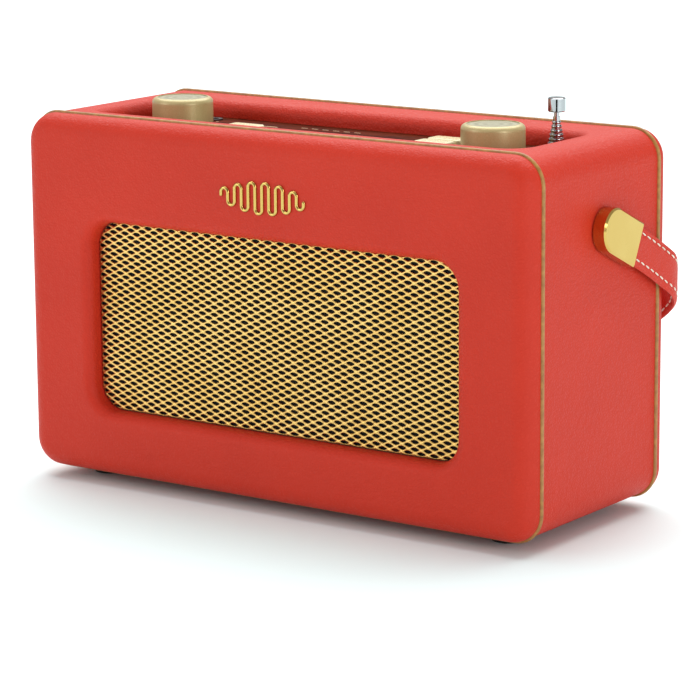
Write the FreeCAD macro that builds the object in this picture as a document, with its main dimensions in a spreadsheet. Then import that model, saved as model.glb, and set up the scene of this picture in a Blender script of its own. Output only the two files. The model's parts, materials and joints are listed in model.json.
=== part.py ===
"""A leather-covered portable radio: case, grille, controls, carrying strap and telescopic mast.

Frame: origin on the floor under the middle of the case, +X to the listener's right, the front
looks along -Y, +Z up. Millimetres.
"""
import FreeCAD
import Part
import math
import os
import re

import Sketcher
from FreeCAD import Placement, Rotation, Vector

SIZES = {
    # case
    "case_width": 249.6, "case_height": 150.5, "corner_radius": 12, "wall": 9, "leather": 1,
    "cavity_corner": 3, "foot_height": 4.5, "foot_radius": 6.5, "foot_rounding": 1,
    "foot_inset_side": 24, "foot_inset_end": 23,
    "front_face": 52, "back_face": 52, "front_seam": 42.7, "back_seam": 43.8,
    "front_roll": 8, "back_roll": 6, "piping_radius": 0.95, "piping_sunk": 0.05, "tape": 0.8,
    "tape_width": 4, "plug_depth": 8, "fit_gap": 0.3,
    # recess in the top
    "recess_width": 208, "recess_front": 29, "recess_back": 23, "recess_corner": 8,
    "recess_roll": 5, "panel_drop": 7, "panel_thickness": 2.5,
    "tray_thickness": 2, "tray_flange": 5.2, "board_drop": 9.4, "board_thickness": 1.6,
    "board_width": 176, "board_front": 33, "board_back": 28,
    "post_radius": 3, "post_x": 84, "post_front": 29, "post_back": 24,
    # grille and ornament
    "grille_width": 182, "grille_height": 80, "grille_centre": 72, "grille_corner": 11,
    "lip_roll": 4.5, "grille_setback": 6.5, "sheet_metal": 0.6, "cloth": 0.4,
    "ornament_height": 14, "ornament_drop": 25.5, "ornament_pitch": 3.4,
    "ornament_wire": 0.75, "ornament_relief": 0.95,
    # speaker
    "speaker_x": -30, "speaker_radius": 49.5, "sound_hole": 40, "cone_radius": 36,
    "coil_radius": 12.6, "coil_wall": 0.3, "cone_depth": 13, "basket_depth": 20.4,
    "magnet_radius": 25, "magnet_depth": 12, "speaker_flange": 1.2, "cone_paper": 0.6,
    "cone_travel": 1.5, "coil_gap": 0.35, "speaker_screw_circle": 46.3, "screw_radius": 1.3,
    "speaker_screw_length": 7, "screw_head": 2.4, "screw_head_height": 1.2,
    # controls
    "knob_x": 77.5, "knob_y": -4, "knob_radius": 12.8, "knob_top": 4.7, "knob_gap": 1.2,
    "knob_rounding": 2.2, "inlay_radius": 10.5, "inlay_thickness": 0.6, "inlay_sunk": 0.3,
    "knob_wall": 1.5, "boss_radius": 5.4, "knob_bore_depth": 6.4, "knob_travel": 0.8,
    "shaft_radius": 3, "shaft_flat": 2.2, "running": 0.05, "bush_radius": 3.8,
    "encoder_size": 12, "encoder_height": 6.4,
    "key_length": 15.5, "key_width": 8.5, "key_rise": 2, "key_corner": 1.6, "key_rounding": 0.9,
    "key_gap": 0.25, "key_pitch": 10, "left_keys_x": -46.3, "right_keys_x": 46.8,
    "left_keys_y": -22, "right_keys_y": -10, "key_travel": 0.8,
    "key_flange": 1, "switch_size": 6, "switch_height": 3.5, "plunger": 0.6,
    "plunger_radius": 1.7, "stem_radius": 2,
    "window_width": 48, "window_front": 22, "window_back": 2, "window_corner": 1.5,
    "view_margin": 3, "module_margin": 1.2, "module_height": 7,
    "jack_x": -75, "jack_y": 14.5, "jack_radius": 3, "jack_ring": 3.5, "jack_ring_height": 0.6,
    "jack_bore": 1.8, "jack_depth": 11.6,
    # telescopic mast
    "mast_x": 93.7, "mast_y": 17, "mast_rise": 3, "mast_step": 1.7,
    "mast_floor": 46, "mast_stagger": 1, "mast_clearance": 0.08, "neck_radius": 1.1,
    "neck_height": 1.95, "tip_radius": 3.55, "tip_height": 5.65, "tip_rounding": 0.4,
    "spigot_length": 4, "guide_radius": 4.8, "guide_bore": 4, "guide_throat": 3.7,
    "guide_rise": 0.4, "throat_length": 5.4, "slider_radius": 3.92, "slider_floor": 26,
    "slider_height": 5, "swivel_radius": 1.44, "swivel_depth": 2.8, "elbow_radius": 3.4,
    "elbow_flat": 1.2, "elbow_plug": 6, "elbow_shoulder": 3,
    # carrying strap
    "pivot_drop": 34, "pivot_y": 1.7, "strap_width": 16, "strap_thickness": 3,
    "strap_clearance": 0.4, "strap_bend": 19, "strap_level": 35, "strap_start": 6,
    "strap_rest": 24.9, "strap_steepest": 34, "cap_radius": 9, "cap_reach": 19.3,
    "cap_thickness": 5.6, "cap_inner_wall": 1.3, "cap_chamfer": 0.7, "washer": 0.6,
    "washer_radius": 8, "stud_radius": 2.5, "stud_entry": 2.6, "stud_head": 5,
    "stud_head_height": 3,
    # power, back panel and sockets
    "cell_radius": 7.1, "cell_length": 49.5, "cell_nub": 2.6, "cell_nub_height": 1,
    "cell_gap": 0.3, "holder_wall": 1.6, "holder_front": 32, "holder_slack": 2.6,
    "door_thickness": 2.6, "door_gap": 0.2, "door_axis_height": 2.7, "door_axis_depth": 1.6,
    "door_roll": 1.4, "door_stub": 1, "opening_gap": 0.3,
    "back_screw_inset": 7.4, "back_screw_low": 19.5, "back_screw_high": 19, "back_screw_head": 2.6,
    "back_screw_length": 22, "back_screw_clearance": 0.2,
    "socket_x": 95, "socket_z": 40, "plate_width": 22, "plate_height": 24, "plate_corner": 2,
    "dc_radius": 5.5, "dc_length": 14, "dc_bore": 2.9, "dc_depth": 9.5, "dc_pin": 1, "dc_rim": 0.4,
}

SECTION_RADII = [3.6, 3.2, 2.8, 2.45, 2.1, 1.75, 1.4]
KEY_COUNT = 3
ORNAMENT_STROKES = 13

doc = FreeCAD.newDocument("PortableRadio")
sheet = doc.addObject("Spreadsheet::Sheet", "Dims")
nodes = []


def cells(text):
    """Turns plain size names into references to the sheet's cells."""
    return re.sub(r"[a-z][a-z_0-9]*", lambda word: "Dims." + word.group(), text)


def value(text):
    """The number that an expression in plain size names stands for."""
    return float(sheet.evalExpression(cells(text)))


def fill_sheet():
    """Writes each driving size with its name in column B and its number in column A."""
    for row, (alias, number) in enumerate(SIZES.items(), start=1):
        sheet.set("A%d" % row, str(number))
        sheet.setAlias("A%d" % row, alias)
        sheet.set("B%d" % row, alias.replace("_", " "))
    doc.recompute()


# Levels and limits that several pieces share.
RIM = "(foot_height + case_height)"
CAVITY_TOP = "(foot_height + case_height - leather - wall)"
CAVITY_FLOOR = "(foot_height + leather + wall)"
PANEL_TOP = "(foot_height + case_height - panel_drop)"
PANEL_FLOOR = "(foot_height + case_height - panel_drop - panel_thickness)"
TRAY_FLOOR = "(foot_height + case_height - leather - wall - tray_thickness)"
BOARD_TOP = "(foot_height + case_height - leather - wall - board_drop)"
HALF = "(case_width / 2)"
PIVOT_Z = "(foot_height + case_height - pivot_drop)"
CAVITY_HALF = "(case_width / 2 - leather - wall)"
FRONT_TAPE = "(front_seam + tape / 2)"
PLUG_BACK = "(-front_seam - tape / 2 + plug_depth)"
KEY_TOP = "(foot_height + case_height - panel_drop + key_rise)"
KNOB_FLOOR = "(foot_height + case_height - panel_drop + knob_gap)"
KNOB_CROWN = "(foot_height + case_height + knob_top)"
HOLDER_HALF = "(cell_length + cell_nub_height + cell_gap + holder_slack + holder_wall)"
HOLDER_TOP = "(foot_height + leather + wall + 2 * holder_wall + 4 * cell_radius + 3 * cell_gap)"
HOLDER_BACK = "(back_face - door_thickness - door_gap)"
DOOR_AXIS_Y = "(back_face - door_axis_depth)"
DOOR_AXIS_Z = "(foot_height + leather + wall + door_axis_height)"
CAP_INNER = "(case_width / 2 + washer)"
STRAP_OUTER = "(case_width / 2 + washer + cap_inner_wall + strap_thickness)"
SLIDER_TOP = "(slider_floor + slider_height)"


def make_body(name, several=False):
    """An empty body. With several set it may hold separate solids."""
    made = doc.addObject("PartDesign::Body", name)
    made.AllowCompound = several
    return made


def add_sketch(made, role, offset="0"):
    """A sketch on one of the body's own origin planes, moved along the plane's normal."""
    name = "%s_sketch%d" % (made.Name, len(made.Group))
    drawn = made.newObject("Sketcher::SketchObject", name)
    plane = next(item for item in made.Origin.OriginFeatures if item.Role == role)
    drawn.AttachmentSupport = [(plane, "")]
    drawn.MapMode = "FlatFace"
    drawn.setExpression("AttachmentOffset.Base.z", cells(offset))
    return drawn


def hold(drawn, kind, *arguments):
    """Adds a constraint whose size follows an expression, the last argument."""
    text = arguments[-1]
    index = drawn.addConstraint(Sketcher.Constraint(kind, *arguments[:-1], value(text)))
    drawn.renameConstraint(index, "size%d" % index)
    drawn.setExpression("Constraints.size%d" % index, cells(text))


def place_point(drawn, shape, point, across, up):
    """Holds one point of a line or arc at a place given by two expressions."""
    for kind, axis, text in (("DistanceX", -2, across), ("DistanceY", -1, up)):
        if text == "0":
            drawn.addConstraint(Sketcher.Constraint("PointOnObject", shape, point, axis))
        else:
            hold(drawn, kind, -1, 1, shape, point, text)


def draw_disc(drawn, across, up, radius):
    """A circle."""
    circle = Part.Circle(Vector(value(across), value(up), 0), Vector(0, 0, 1), value(radius))
    index = drawn.addGeometry(circle)
    hold(drawn, "Radius", index, radius)
    place_point(drawn, index, 3, across, up)


def draw_polygon(drawn, points):
    """A closed outline through points given as pairs of expressions."""
    first = drawn.GeometryCount
    spots = [Vector(value(across), value(up), 0) for across, up in points]
    for index, start in enumerate(spots):
        drawn.addGeometry(Part.LineSegment(start, spots[(index + 1) % len(spots)]))
    for index, (across, up) in enumerate(points):
        line = first + index
        following = first + (index + 1) % len(points)
        drawn.addConstraint(Sketcher.Constraint("Coincident", line, 2, following, 1))
        place_point(drawn, line, 1, across, up)


def draw_box(drawn, left, right, low, high, corner):
    """A rectangle with rounded corners, held by its four sides and its corner radius."""
    x0, x1, y0, y1, r = [value(text) for text in (left, right, low, high, corner)]
    first = drawn.GeometryCount
    sides = [((x0 + r, y0), (x1 - r, y0)), ((x1, y0 + r), (x1, y1 - r)),
             ((x1 - r, y1), (x0 + r, y1)), ((x0, y1 - r), (x0, y0 + r))]
    centres = [(x1 - r, y0 + r), (x1 - r, y1 - r), (x0 + r, y1 - r), (x0 + r, y0 + r)]
    for side, ((start, end), centre) in enumerate(zip(sides, centres)):
        drawn.addGeometry(Part.LineSegment(Vector(*start, 0), Vector(*end, 0)))
        circle = Part.Circle(Vector(*centre, 0), Vector(0, 0, 1), r)
        turn = math.radians(90 * side - 90)
        drawn.addGeometry(Part.ArcOfCircle(circle, turn, turn + math.pi / 2))
    for side in range(4):
        line = first + 2 * side
        following = first + (2 * side + 2) % 8
        drawn.addConstraint(Sketcher.Constraint("Tangent", line, 2, line + 1, 1))
        drawn.addConstraint(Sketcher.Constraint("Tangent", line + 1, 2, following, 1))
        drawn.addConstraint(Sketcher.Constraint(("Horizontal", "Vertical")[side % 2], line))
        if side:
            drawn.addConstraint(Sketcher.Constraint("Equal", first + 1, line + 1))
    hold(drawn, "Radius", first + 1, corner)
    hold(drawn, "DistanceY", -1, 1, first, 1, low)
    hold(drawn, "DistanceX", -1, 1, first + 2, 1, right)
    hold(drawn, "DistanceY", -1, 1, first + 4, 1, high)
    hold(drawn, "DistanceX", -1, 1, first + 6, 1, left)


def draw_dee(drawn, radius, reach):
    """A tab: a half circle about the origin, closed by a straight end across the reach."""
    r, far = value(radius), value(reach)
    circle = Part.Circle(Vector(0, 0, 0), Vector(0, 0, 1), r)
    drawn.addGeometry(Part.ArcOfCircle(circle, math.pi / 2, 3 * math.pi / 2))
    drawn.addGeometry(Part.LineSegment(Vector(0, -r, 0), Vector(far, -r, 0)))
    drawn.addGeometry(Part.LineSegment(Vector(far, -r, 0), Vector(far, r, 0)))
    drawn.addGeometry(Part.LineSegment(Vector(far, r, 0), Vector(0, r, 0)))
    place_point(drawn, 0, 3, "0", "0")
    drawn.addConstraint(Sketcher.Constraint("Tangent", 0, 2, 1, 1))
    drawn.addConstraint(Sketcher.Constraint("Tangent", 3, 2, 0, 1))
    drawn.addConstraint(Sketcher.Constraint("Coincident", 1, 2, 2, 1))
    drawn.addConstraint(Sketcher.Constraint("Coincident", 2, 2, 3, 1))
    drawn.addConstraint(Sketcher.Constraint("Horizontal", 1))
    drawn.addConstraint(Sketcher.Constraint("Vertical", 2))
    hold(drawn, "Radius", 0, radius)
    hold(drawn, "DistanceX", -1, 1, 2, 1, reach)


OUTLINES = {"disc": draw_disc, "box": draw_box, "polygon": draw_polygon, "dee": draw_dee}


def slab(name, role, start, end, *outlines, several=False):
    """A plate between two levels of one axis. The first outline is its edge, or, with several
    set, each outline is a solid of its own."""
    made = make_body(name, several)
    offset = "-(%s)" % end if role == "XZ_Plane" else start
    drawn = add_sketch(made, role, offset)
    for kind, *numbers in outlines:
        OUTLINES[kind](drawn, *numbers)
    feature = made.newObject("PartDesign::Pad", name + "_pad")
    feature.Profile = drawn
    feature.setExpression("Length", cells("(%s) - (%s)" % (end, start)))
    drawn.Visibility = False
    return made


def turned(name, points):
    """A turned piece about +Z, from a profile of radius and height pairs."""
    made = make_body(name)
    drawn = add_sketch(made, "XZ_Plane")
    draw_polygon(drawn, points)
    feature = made.newObject("PartDesign::Revolution", name + "_turn")
    feature.Profile = drawn
    feature.ReferenceAxis = (drawn, ["V_Axis"])
    feature.Angle = 360
    return made


def pocket(made, role, level, depth, outline):
    """Sinks one outline into a body from a level, against the plane's normal."""
    doc.recompute()
    before = made.Shape.Volume
    drawn = add_sketch(made, role, level)
    OUTLINES[outline[0]](drawn, *outline[1:])
    feature = made.newObject("PartDesign::Pocket", "%s_pocket" % drawn.Name)
    feature.Profile = drawn
    feature.setExpression("Length", cells(depth))
    doc.recompute()
    if made.Shape.Volume >= before:
        raise RuntimeError("the pocket in %s cuts nothing" % made.Name)


def edges_at(made, axis, level, wanted):
    """The edges that lie flat at one level and whose two spans across it are wanted."""
    doc.recompute()
    chosen = []
    for index, edge in enumerate(made.Shape.Edges, start=1):
        box = edge.BoundBox
        spans = {name: (getattr(box, name + "Min"), getattr(box, name + "Max")) for name in "XYZ"}
        low, high = spans.pop(axis)
        flat = abs(low - value(level)) < 0.01 and abs(high - value(level)) < 0.01
        if flat and wanted(*spans.values()):
            chosen.append("Edge%d" % index)
    return chosen


def soften(made, kind, edges, size):
    """Adds a fillet or chamfer on some edges of a body."""
    base = made.Tip
    feature = made.newObject("PartDesign::" + kind, "%s_%s%d" % (made.Name, kind, len(made.Group)))
    feature.Base = (base, edges)
    feature.setExpression("Radius" if kind == "Fillet" else "Size", cells(size))
    made.Tip = feature


def dress(made, kind, axis, level, size, inside=None):
    """Rounds or chamfers the edges that lie flat at one level, or only those inside a region.

    The region is two limits across and two limits up, in the level's own plane."""
    limits = [value(text) for text in inside] if inside else None

    def wanted(across, up):
        return not limits or (across[0] > limits[0] - 0.01 and across[1] < limits[1] + 0.01
                              and up[0] > limits[2] - 0.01 and up[1] < limits[3] + 0.01)

    soften(made, kind, edges_at(made, axis, level, wanted), size)


def outside_edges(made, axis, level, size, hole):
    """Rounds the edges at a level that are not part of the hole."""
    limits = [value(text) for text in hole]

    def wanted(across, up):
        return (across[0] < limits[0] - 0.5 or across[1] > limits[1] + 0.5
                or up[0] < limits[2] - 0.5 or up[1] > limits[3] + 0.5)

    soften(made, "Fillet", edges_at(made, axis, level, wanted), size)


def rod(name, radius, length, base, direction):
    """A round bar from a base point along a direction, all bound to the sheet."""
    made = doc.addObject("Part::Cylinder", name)
    made.Placement = Placement(Vector(), Rotation(Vector(0, 0, 1), direction))
    made.setExpression("Radius", cells(radius))
    made.setExpression("Height", cells(length))
    for letter, text in zip("xyz", base):
        made.setExpression("Placement.Base." + letter, cells(text))
    return made


def cut(name, base, tool):
    made = doc.addObject("Part::Cut", name)
    made.Base = base
    made.Tool = tool
    return made


def cut_all(name, base, *tools):
    """Takes several pieces out of one, in turn."""
    for index, tool in enumerate(tools[:-1]):
        base = cut("%s_step%d" % (name, index + 1), base, tool)
    return cut(name, base, tools[-1])


def fuse(name, *pieces):
    made = doc.addObject("Part::MultiFuse", name)
    made.Shapes = list(pieces)
    made.Refine = True
    return made


def node(made, name):
    """Marks a finished piece, which is written under its own name."""
    made.Label = name
    nodes.append(made)
    return made


def case_outline(inset):
    """The case's outline seen from the front, drawn in by an inset."""
    return ("box", "-%s + %s" % (HALF, inset), "%s - %s" % (HALF, inset),
            "foot_height + " + inset, "%s - %s" % (RIM, inset), "corner_radius - " + inset)


def cavity_outline(inset):
    """The space inside the ring of boards, drawn in by an inset."""
    return ("box", "-%s + %s" % (CAVITY_HALF, inset), "%s - %s" % (CAVITY_HALF, inset),
            "%s + %s" % (CAVITY_FLOOR, inset), "%s - %s" % (CAVITY_TOP, inset), "cavity_corner")


def recess_outline(inset):
    """The recess in the top, seen from above, drawn in by an inset."""
    return ("box", "-recess_width / 2 + " + inset, "recess_width / 2 - " + inset,
            "-recess_front + " + inset, "recess_back - " + inset, "recess_corner - " + inset)


def grille_outline(inset):
    """The grille opening seen from the front, drawn in by an inset."""
    return ("box", "-grille_width / 2 + " + inset, "grille_width / 2 - " + inset,
            "grille_centre - grille_height / 2 + " + inset,
            "grille_centre + grille_height / 2 - " + inset, "grille_corner - " + inset)


def battery_outline():
    """The opening that the battery holder stands in, seen from behind."""
    return ("box", "-%s - opening_gap" % HOLDER_HALF, "%s + opening_gap" % HOLDER_HALF,
            CAVITY_FLOOR + " - opening_gap", HOLDER_TOP + " + opening_gap", "opening_gap")


def recessed_block(name, inset, front, back):
    """The case's block with its rolled recess, inside the leather by an inset."""
    made = slab(name, "XZ_Plane", front, back, case_outline(inset))
    top = "%s - %s" % (RIM, inset)
    wide = recess_outline("(-%s)" % inset)
    pocket(made, "XY_Plane", top, "(%s) - %s" % (top, CAVITY_TOP), wide)
    dress(made, "Fillet", "Z", top, "recess_roll - " + inset, wide[1:5])
    return made


def case_ring():
    """The ring of boards round the case and the leather wrapped over it."""
    skin = ("-front_seam + piping_radius", "back_seam - piping_radius")
    outer = recessed_block("wrap_outer", "0", *skin)
    core = recessed_block("wrap_core", "leather", *skin)
    ring = ("-front_seam + tape / 2", "back_seam - tape / 2")
    block = recessed_block("carcass_block", "leather", *ring)
    cavity = slab("carcass_cavity", "XZ_Plane", *ring, cavity_outline("0"))
    studs = pivot_studs()
    screws = back_screws()
    node(cut_all("case_wrap", outer, core, studs), "case_wrap")
    node(cut_all("case_carcass", block, cavity, studs, screws), "case_carcass")
    return screws


def pivot_studs():
    """A shouldered stud on each side that the carrying strap turns on, and its washer."""
    pieces = []
    washers = []
    for side, sign in (("left", "-"), ("right", "")):
        way = Vector(-1 if sign else 1, 0, 0)
        shank = rod("stud_shank_" + side, "stud_radius", "wall + leather + washer + stud_entry",
                    (sign + CAVITY_HALF, "pivot_y", PIVOT_Z), way)
        head = rod("stud_head_" + side, "stud_head", "stud_head_height",
                   ("%s(%s - stud_head_height)" % (sign, CAVITY_HALF), "pivot_y", PIVOT_Z), way)
        pieces += [shank, head]
        disc = rod("washer_disc_" + side, "washer_radius", "washer",
                   (sign + HALF, "pivot_y", PIVOT_Z), way)
        washers.append(cut("washer_" + side, disc, shank))
    studs = node(fuse("pivot_studs", *pieces), "pivot_studs")
    node(fuse("pivot_washers", *washers), "pivot_washers")
    return studs


def back_screw_spots():
    """The middle of each of the back panel's four screws."""
    return [("%s(%s - back_screw_inset)" % (sign, HALF), z) for sign in ("-", "")
            for z in ("foot_height + back_screw_low", RIM + " - back_screw_high")]


def back_screws():
    """Four screws that hold the back panel to the ring."""
    spots = back_screw_spots()
    shanks = slab("back_screw_shanks", "XZ_Plane", "back_face - back_screw_length", "back_face",
                  *[("disc", x, z, "screw_radius") for x, z in spots], several=True)
    heads = slab("back_screw_heads", "XZ_Plane", "back_face", "back_face + screw_head_height",
                 *[("disc", x, z, "back_screw_head") for x, z in spots], several=True)
    dress(heads, "Fillet", "Y", "back_face + screw_head_height", "screw_head_height / 2")
    screws = node(fuse("back_screws", shanks, heads), "back_screws")
    return screws


def rolled_panel(name, inset, levels, roll, hole, lip=None):
    """A panel with a rolled edge, and a rolled lip round its opening when lip is set."""
    made = slab(name, "XZ_Plane", *levels, case_outline(inset), hole)
    face = levels[0] if lip else levels[1]
    outside_edges(made, "Y", face, "%s - %s" % (roll, inset), hole[1:5])
    if lip:
        dress(made, "Fillet", "Y", face, "%s - %s" % (lip, inset), hole[1:5])
    return made


def front_panel():
    """The thick front board that carries the speaker, with its leather cover."""
    def panel(name, inset, back):
        levels = ("-front_face + " + inset, back)
        opening = grille_outline("(-%s)" % inset)
        return rolled_panel(name, inset, levels, "front_roll", opening, "lip_roll")
    skin_back = "-front_seam - piping_radius"
    cover = cut("front_cover", panel("front_cover_outer", "0", skin_back),
                panel("front_cover_core", "leather", skin_back))
    node(cover, "front_cover")
    flange = panel("front_board_flange", "leather", "-" + FRONT_TAPE)
    plug = slab("front_board_plug", "XZ_Plane", "-" + FRONT_TAPE, PLUG_BACK,
                cavity_outline("fit_gap"), ("disc", "speaker_x", "grille_centre", "sound_hole"))
    screws = speaker_screws()
    node(cut("front_board", fuse("front_board_whole", flange, plug), screws), "front_board")


def back_panel(screws):
    """The back board and its leather cover, open for the batteries and the power socket."""
    clearance = slab("back_screw_holes", "XZ_Plane", "back_seam", "back_face",
                     *[("disc", x, z, "screw_radius + back_screw_clearance")
                       for x, z in back_screw_spots()], several=True)
    socket_hole = slab("socket_hole", "XZ_Plane", "back_seam", "back_face",
                       ("disc", "socket_x", "socket_z", "dc_radius"))
    opening = battery_outline()
    skin = "back_seam + piping_radius"
    outer = rolled_panel("back_cover_outer", "0", (skin, "back_face"), "back_roll", opening)
    core = rolled_panel("back_cover_core", "leather", (skin, "back_face - leather"),
                        "back_roll", opening)
    board = rolled_panel("back_board_whole", "leather",
                         ("back_seam + tape / 2", "back_face - leather"), "back_roll", opening)
    node(cut_all("back_cover", outer, core, clearance, socket_hole), "back_cover")
    node(cut_all("back_board", board, clearance, socket_hole), "back_board")


def piping(name, level):
    """A piped seam: a round bead that follows the outline, on a flat tape between the boards."""
    half = "(%s - piping_sunk)" % HALF
    low, high = "(foot_height + piping_sunk)", "(%s - piping_sunk)" % RIM
    bend = "(corner_radius - piping_sunk)"
    wide, tall = "2 * (%s - %s)" % (half, bend), "%s - %s - 2 * %s" % (high, low, bend)
    pieces = [
        rod(name + "_low", "piping_radius", wide,
            ("-%s + %s" % (half, bend), level, low), Vector(1, 0, 0)),
        rod(name + "_high", "piping_radius", wide,
            ("-%s + %s" % (half, bend), level, high), Vector(1, 0, 0)),
        rod(name + "_left", "piping_radius", tall,
            ("-" + half, level, "%s + %s" % (low, bend)), Vector(0, 0, 1)),
        rod(name + "_right", "piping_radius", tall,
            (half, level, "%s + %s" % (low, bend)), Vector(0, 0, 1)),
    ]
    corners = [("%s - %s" % (half, bend), "%s - %s" % (high, bend)),
               ("-%s + %s" % (half, bend), "%s - %s" % (high, bend)),
               ("-%s + %s" % (half, bend), "%s + %s" % (low, bend)),
               ("%s - %s" % (half, bend), "%s + %s" % (low, bend))]
    for quarter, (across, up) in enumerate(corners):
        ring = doc.addObject("Part::Torus", "%s_corner%d" % (name, quarter + 1))
        turn = Rotation(Vector(0, 1, 0), -90 * quarter)
        ring.Placement = Placement(Vector(), turn * Rotation(Vector(1, 0, 0), 90))
        ring.setExpression("Radius1", cells(bend))
        ring.setExpression("Radius2", cells("piping_radius"))
        ring.Angle3 = 90
        for letter, text in zip("xyz", (across, level, up)):
            ring.setExpression("Placement.Base." + letter, cells(text))
        pieces.append(ring)
    edge = "leather - piping_sunk - tape / 2"
    tape = slab(name + "_tape", "XZ_Plane", level + " - tape / 2", level + " + tape / 2",
                case_outline("(%s)" % edge), case_outline("(leather + tape_width)"))
    node(fuse(name, tape, *pieces), name)


def grille():
    """The pressed metal sheet with its folded rim, and the dark cloth behind it."""
    face = "-front_face + grille_setback"
    back = "-%s - cloth" % FRONT_TAPE
    inner = "(fit_gap + sheet_metal)"
    plate = slab("grille_plate", "XZ_Plane", face, back, grille_outline("fit_gap"))
    hollow = slab("grille_hollow", "XZ_Plane", face + " + sheet_metal", back,
                  grille_outline(inner))
    node(cut("grille", plate, hollow), "grille")
    cloth = slab("grille_cloth", "XZ_Plane", back, "-" + FRONT_TAPE, grille_outline("fit_gap"))
    node(cloth, "grille_cloth")


def badge():
    """A plain ornament on the front: one wire that runs up and down in a swelling wave."""
    radius = value("ornament_wire")
    pitch = value("ornament_pitch")
    face = -value("front_face")
    centre_y = face - value("ornament_relief") + radius
    centre_z = value(RIM + " - ornament_drop")
    turn = pitch / 2
    reach = value("ornament_height") / 2 - turn - radius
    count = ORNAMENT_STROKES
    levels = [0.0]
    for index in range(1, count):
        swell = math.sin(math.pi * index / count)
        levels.append(reach * swell * (1 if index % 2 else -1))
    levels.append(0.0)
    pieces = []
    for index in range(count):
        x = (index - (count - 1) / 2) * pitch
        low, high = sorted((levels[index], levels[index + 1]))
        start = Vector(x, centre_y, centre_z + low)
        pieces.append(Part.makeCylinder(radius, high - low, start, Vector(0, 0, 1)))
        if index + 1 < count:
            top = index % 2 == 0
            middle = Vector(x + turn, centre_y, centre_z + levels[index + 1])
            bend = Part.makeTorus(turn, radius, Vector(), Vector(0, 0, 1), -180, 180, 180)
            bend.Placement = Placement(middle, Rotation(Vector(1, 0, 0), 90 if top else -90))
            pieces.append(bend)
    for x in (-(count - 1) / 2 * pitch, (count - 1) / 2 * pitch):
        pieces.append(Part.makeSphere(radius, Vector(x, centre_y, centre_z)))
    wire = pieces[0].multiFuse(pieces[1:])
    width = count * pitch
    keep = Part.makeBox(2 * width, 5, 2 * width, Vector(-width, face - 5, centre_z - width))
    made = doc.addObject("Part::Feature", "badge")
    made.Shape = wire.common(keep).removeSplitter()
    node(made, "badge")


def key_spots():
    """The middle of each key, column by column."""
    spots = []
    for column, start in (("left_keys_x", "left_keys_y"), ("right_keys_x", "right_keys_y")):
        for row in range(KEY_COUNT):
            spots.append((column, "%s + %d * key_pitch" % (start, row)))
    return spots


def key_outline(spot, grow):
    """A key's outline seen from above, grown on every side."""
    x, y = spot
    return ("box", "%s - key_length / 2 - %s" % (x, grow), "%s + key_length / 2 + %s" % (x, grow),
            "%s - key_width / 2 - %s" % (y, grow), "%s + key_width / 2 + %s" % (y, grow),
            "key_corner + " + grow)


def window_outline(inset):
    """The display window's outline, drawn in by an inset."""
    return ("box", "-window_width / 2 + " + inset, "window_width / 2 - " + inset,
            "-window_front + " + inset, "-window_back - " + inset, "window_corner")


def control_holes(window):
    """Every opening that the panel and the tray share, with the window's own outline."""
    holes = [key_outline(spot, "key_gap") for spot in key_spots()]
    holes += [("disc", x, "knob_y", "bush_radius + key_gap") for x in ("-knob_x", "knob_x")]
    holes.append(("disc", "jack_x", "jack_y", "jack_radius"))
    holes.append(("disc", "mast_x", "mast_y", "guide_radius"))
    holes.append(window)
    return holes


def control_deck():
    """The wooden panel, its display window, the tray under it and the circuit board."""
    level = (PANEL_FLOOR, PANEL_TOP)
    panel = slab("control_panel", "XY_Plane", *level, recess_outline("fit_gap"),
                 *control_holes(window_outline("0")))
    node(panel, "control_panel")
    window = slab("display_window", "XY_Plane", *level, window_outline("running"))
    node(window, "display_window")
    holes = control_holes(window_outline("view_margin"))
    flange = slab("tray_flange", "XY_Plane", TRAY_FLOOR, CAVITY_TOP,
                  recess_outline("(-tray_flange)"), *holes)
    pad = slab("tray_pad", "XY_Plane", CAVITY_TOP, PANEL_FLOOR, recess_outline("fit_gap"), *holes)
    post_spots = [(x, y) for x in ("-post_x", "post_x") for y in ("-post_front", "post_back")]
    posts = slab("tray_posts", "XY_Plane", BOARD_TOP, TRAY_FLOOR,
                 *[("disc", x, y, "post_radius") for x, y in post_spots], several=True)
    node(fuse("panel_tray", flange, pad, posts), "panel_tray")
    board = slab("main_board", "XY_Plane", BOARD_TOP + " - board_thickness", BOARD_TOP,
                 ("box", "-board_width / 2", "board_width / 2", "-board_front", "board_back",
                  "post_radius"))
    node(board, "main_board")
    module = slab("display_module", "XY_Plane", BOARD_TOP, BOARD_TOP + " + module_height",
                  window_outline("(-module_margin)"))
    node(module, "display_module")


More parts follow.
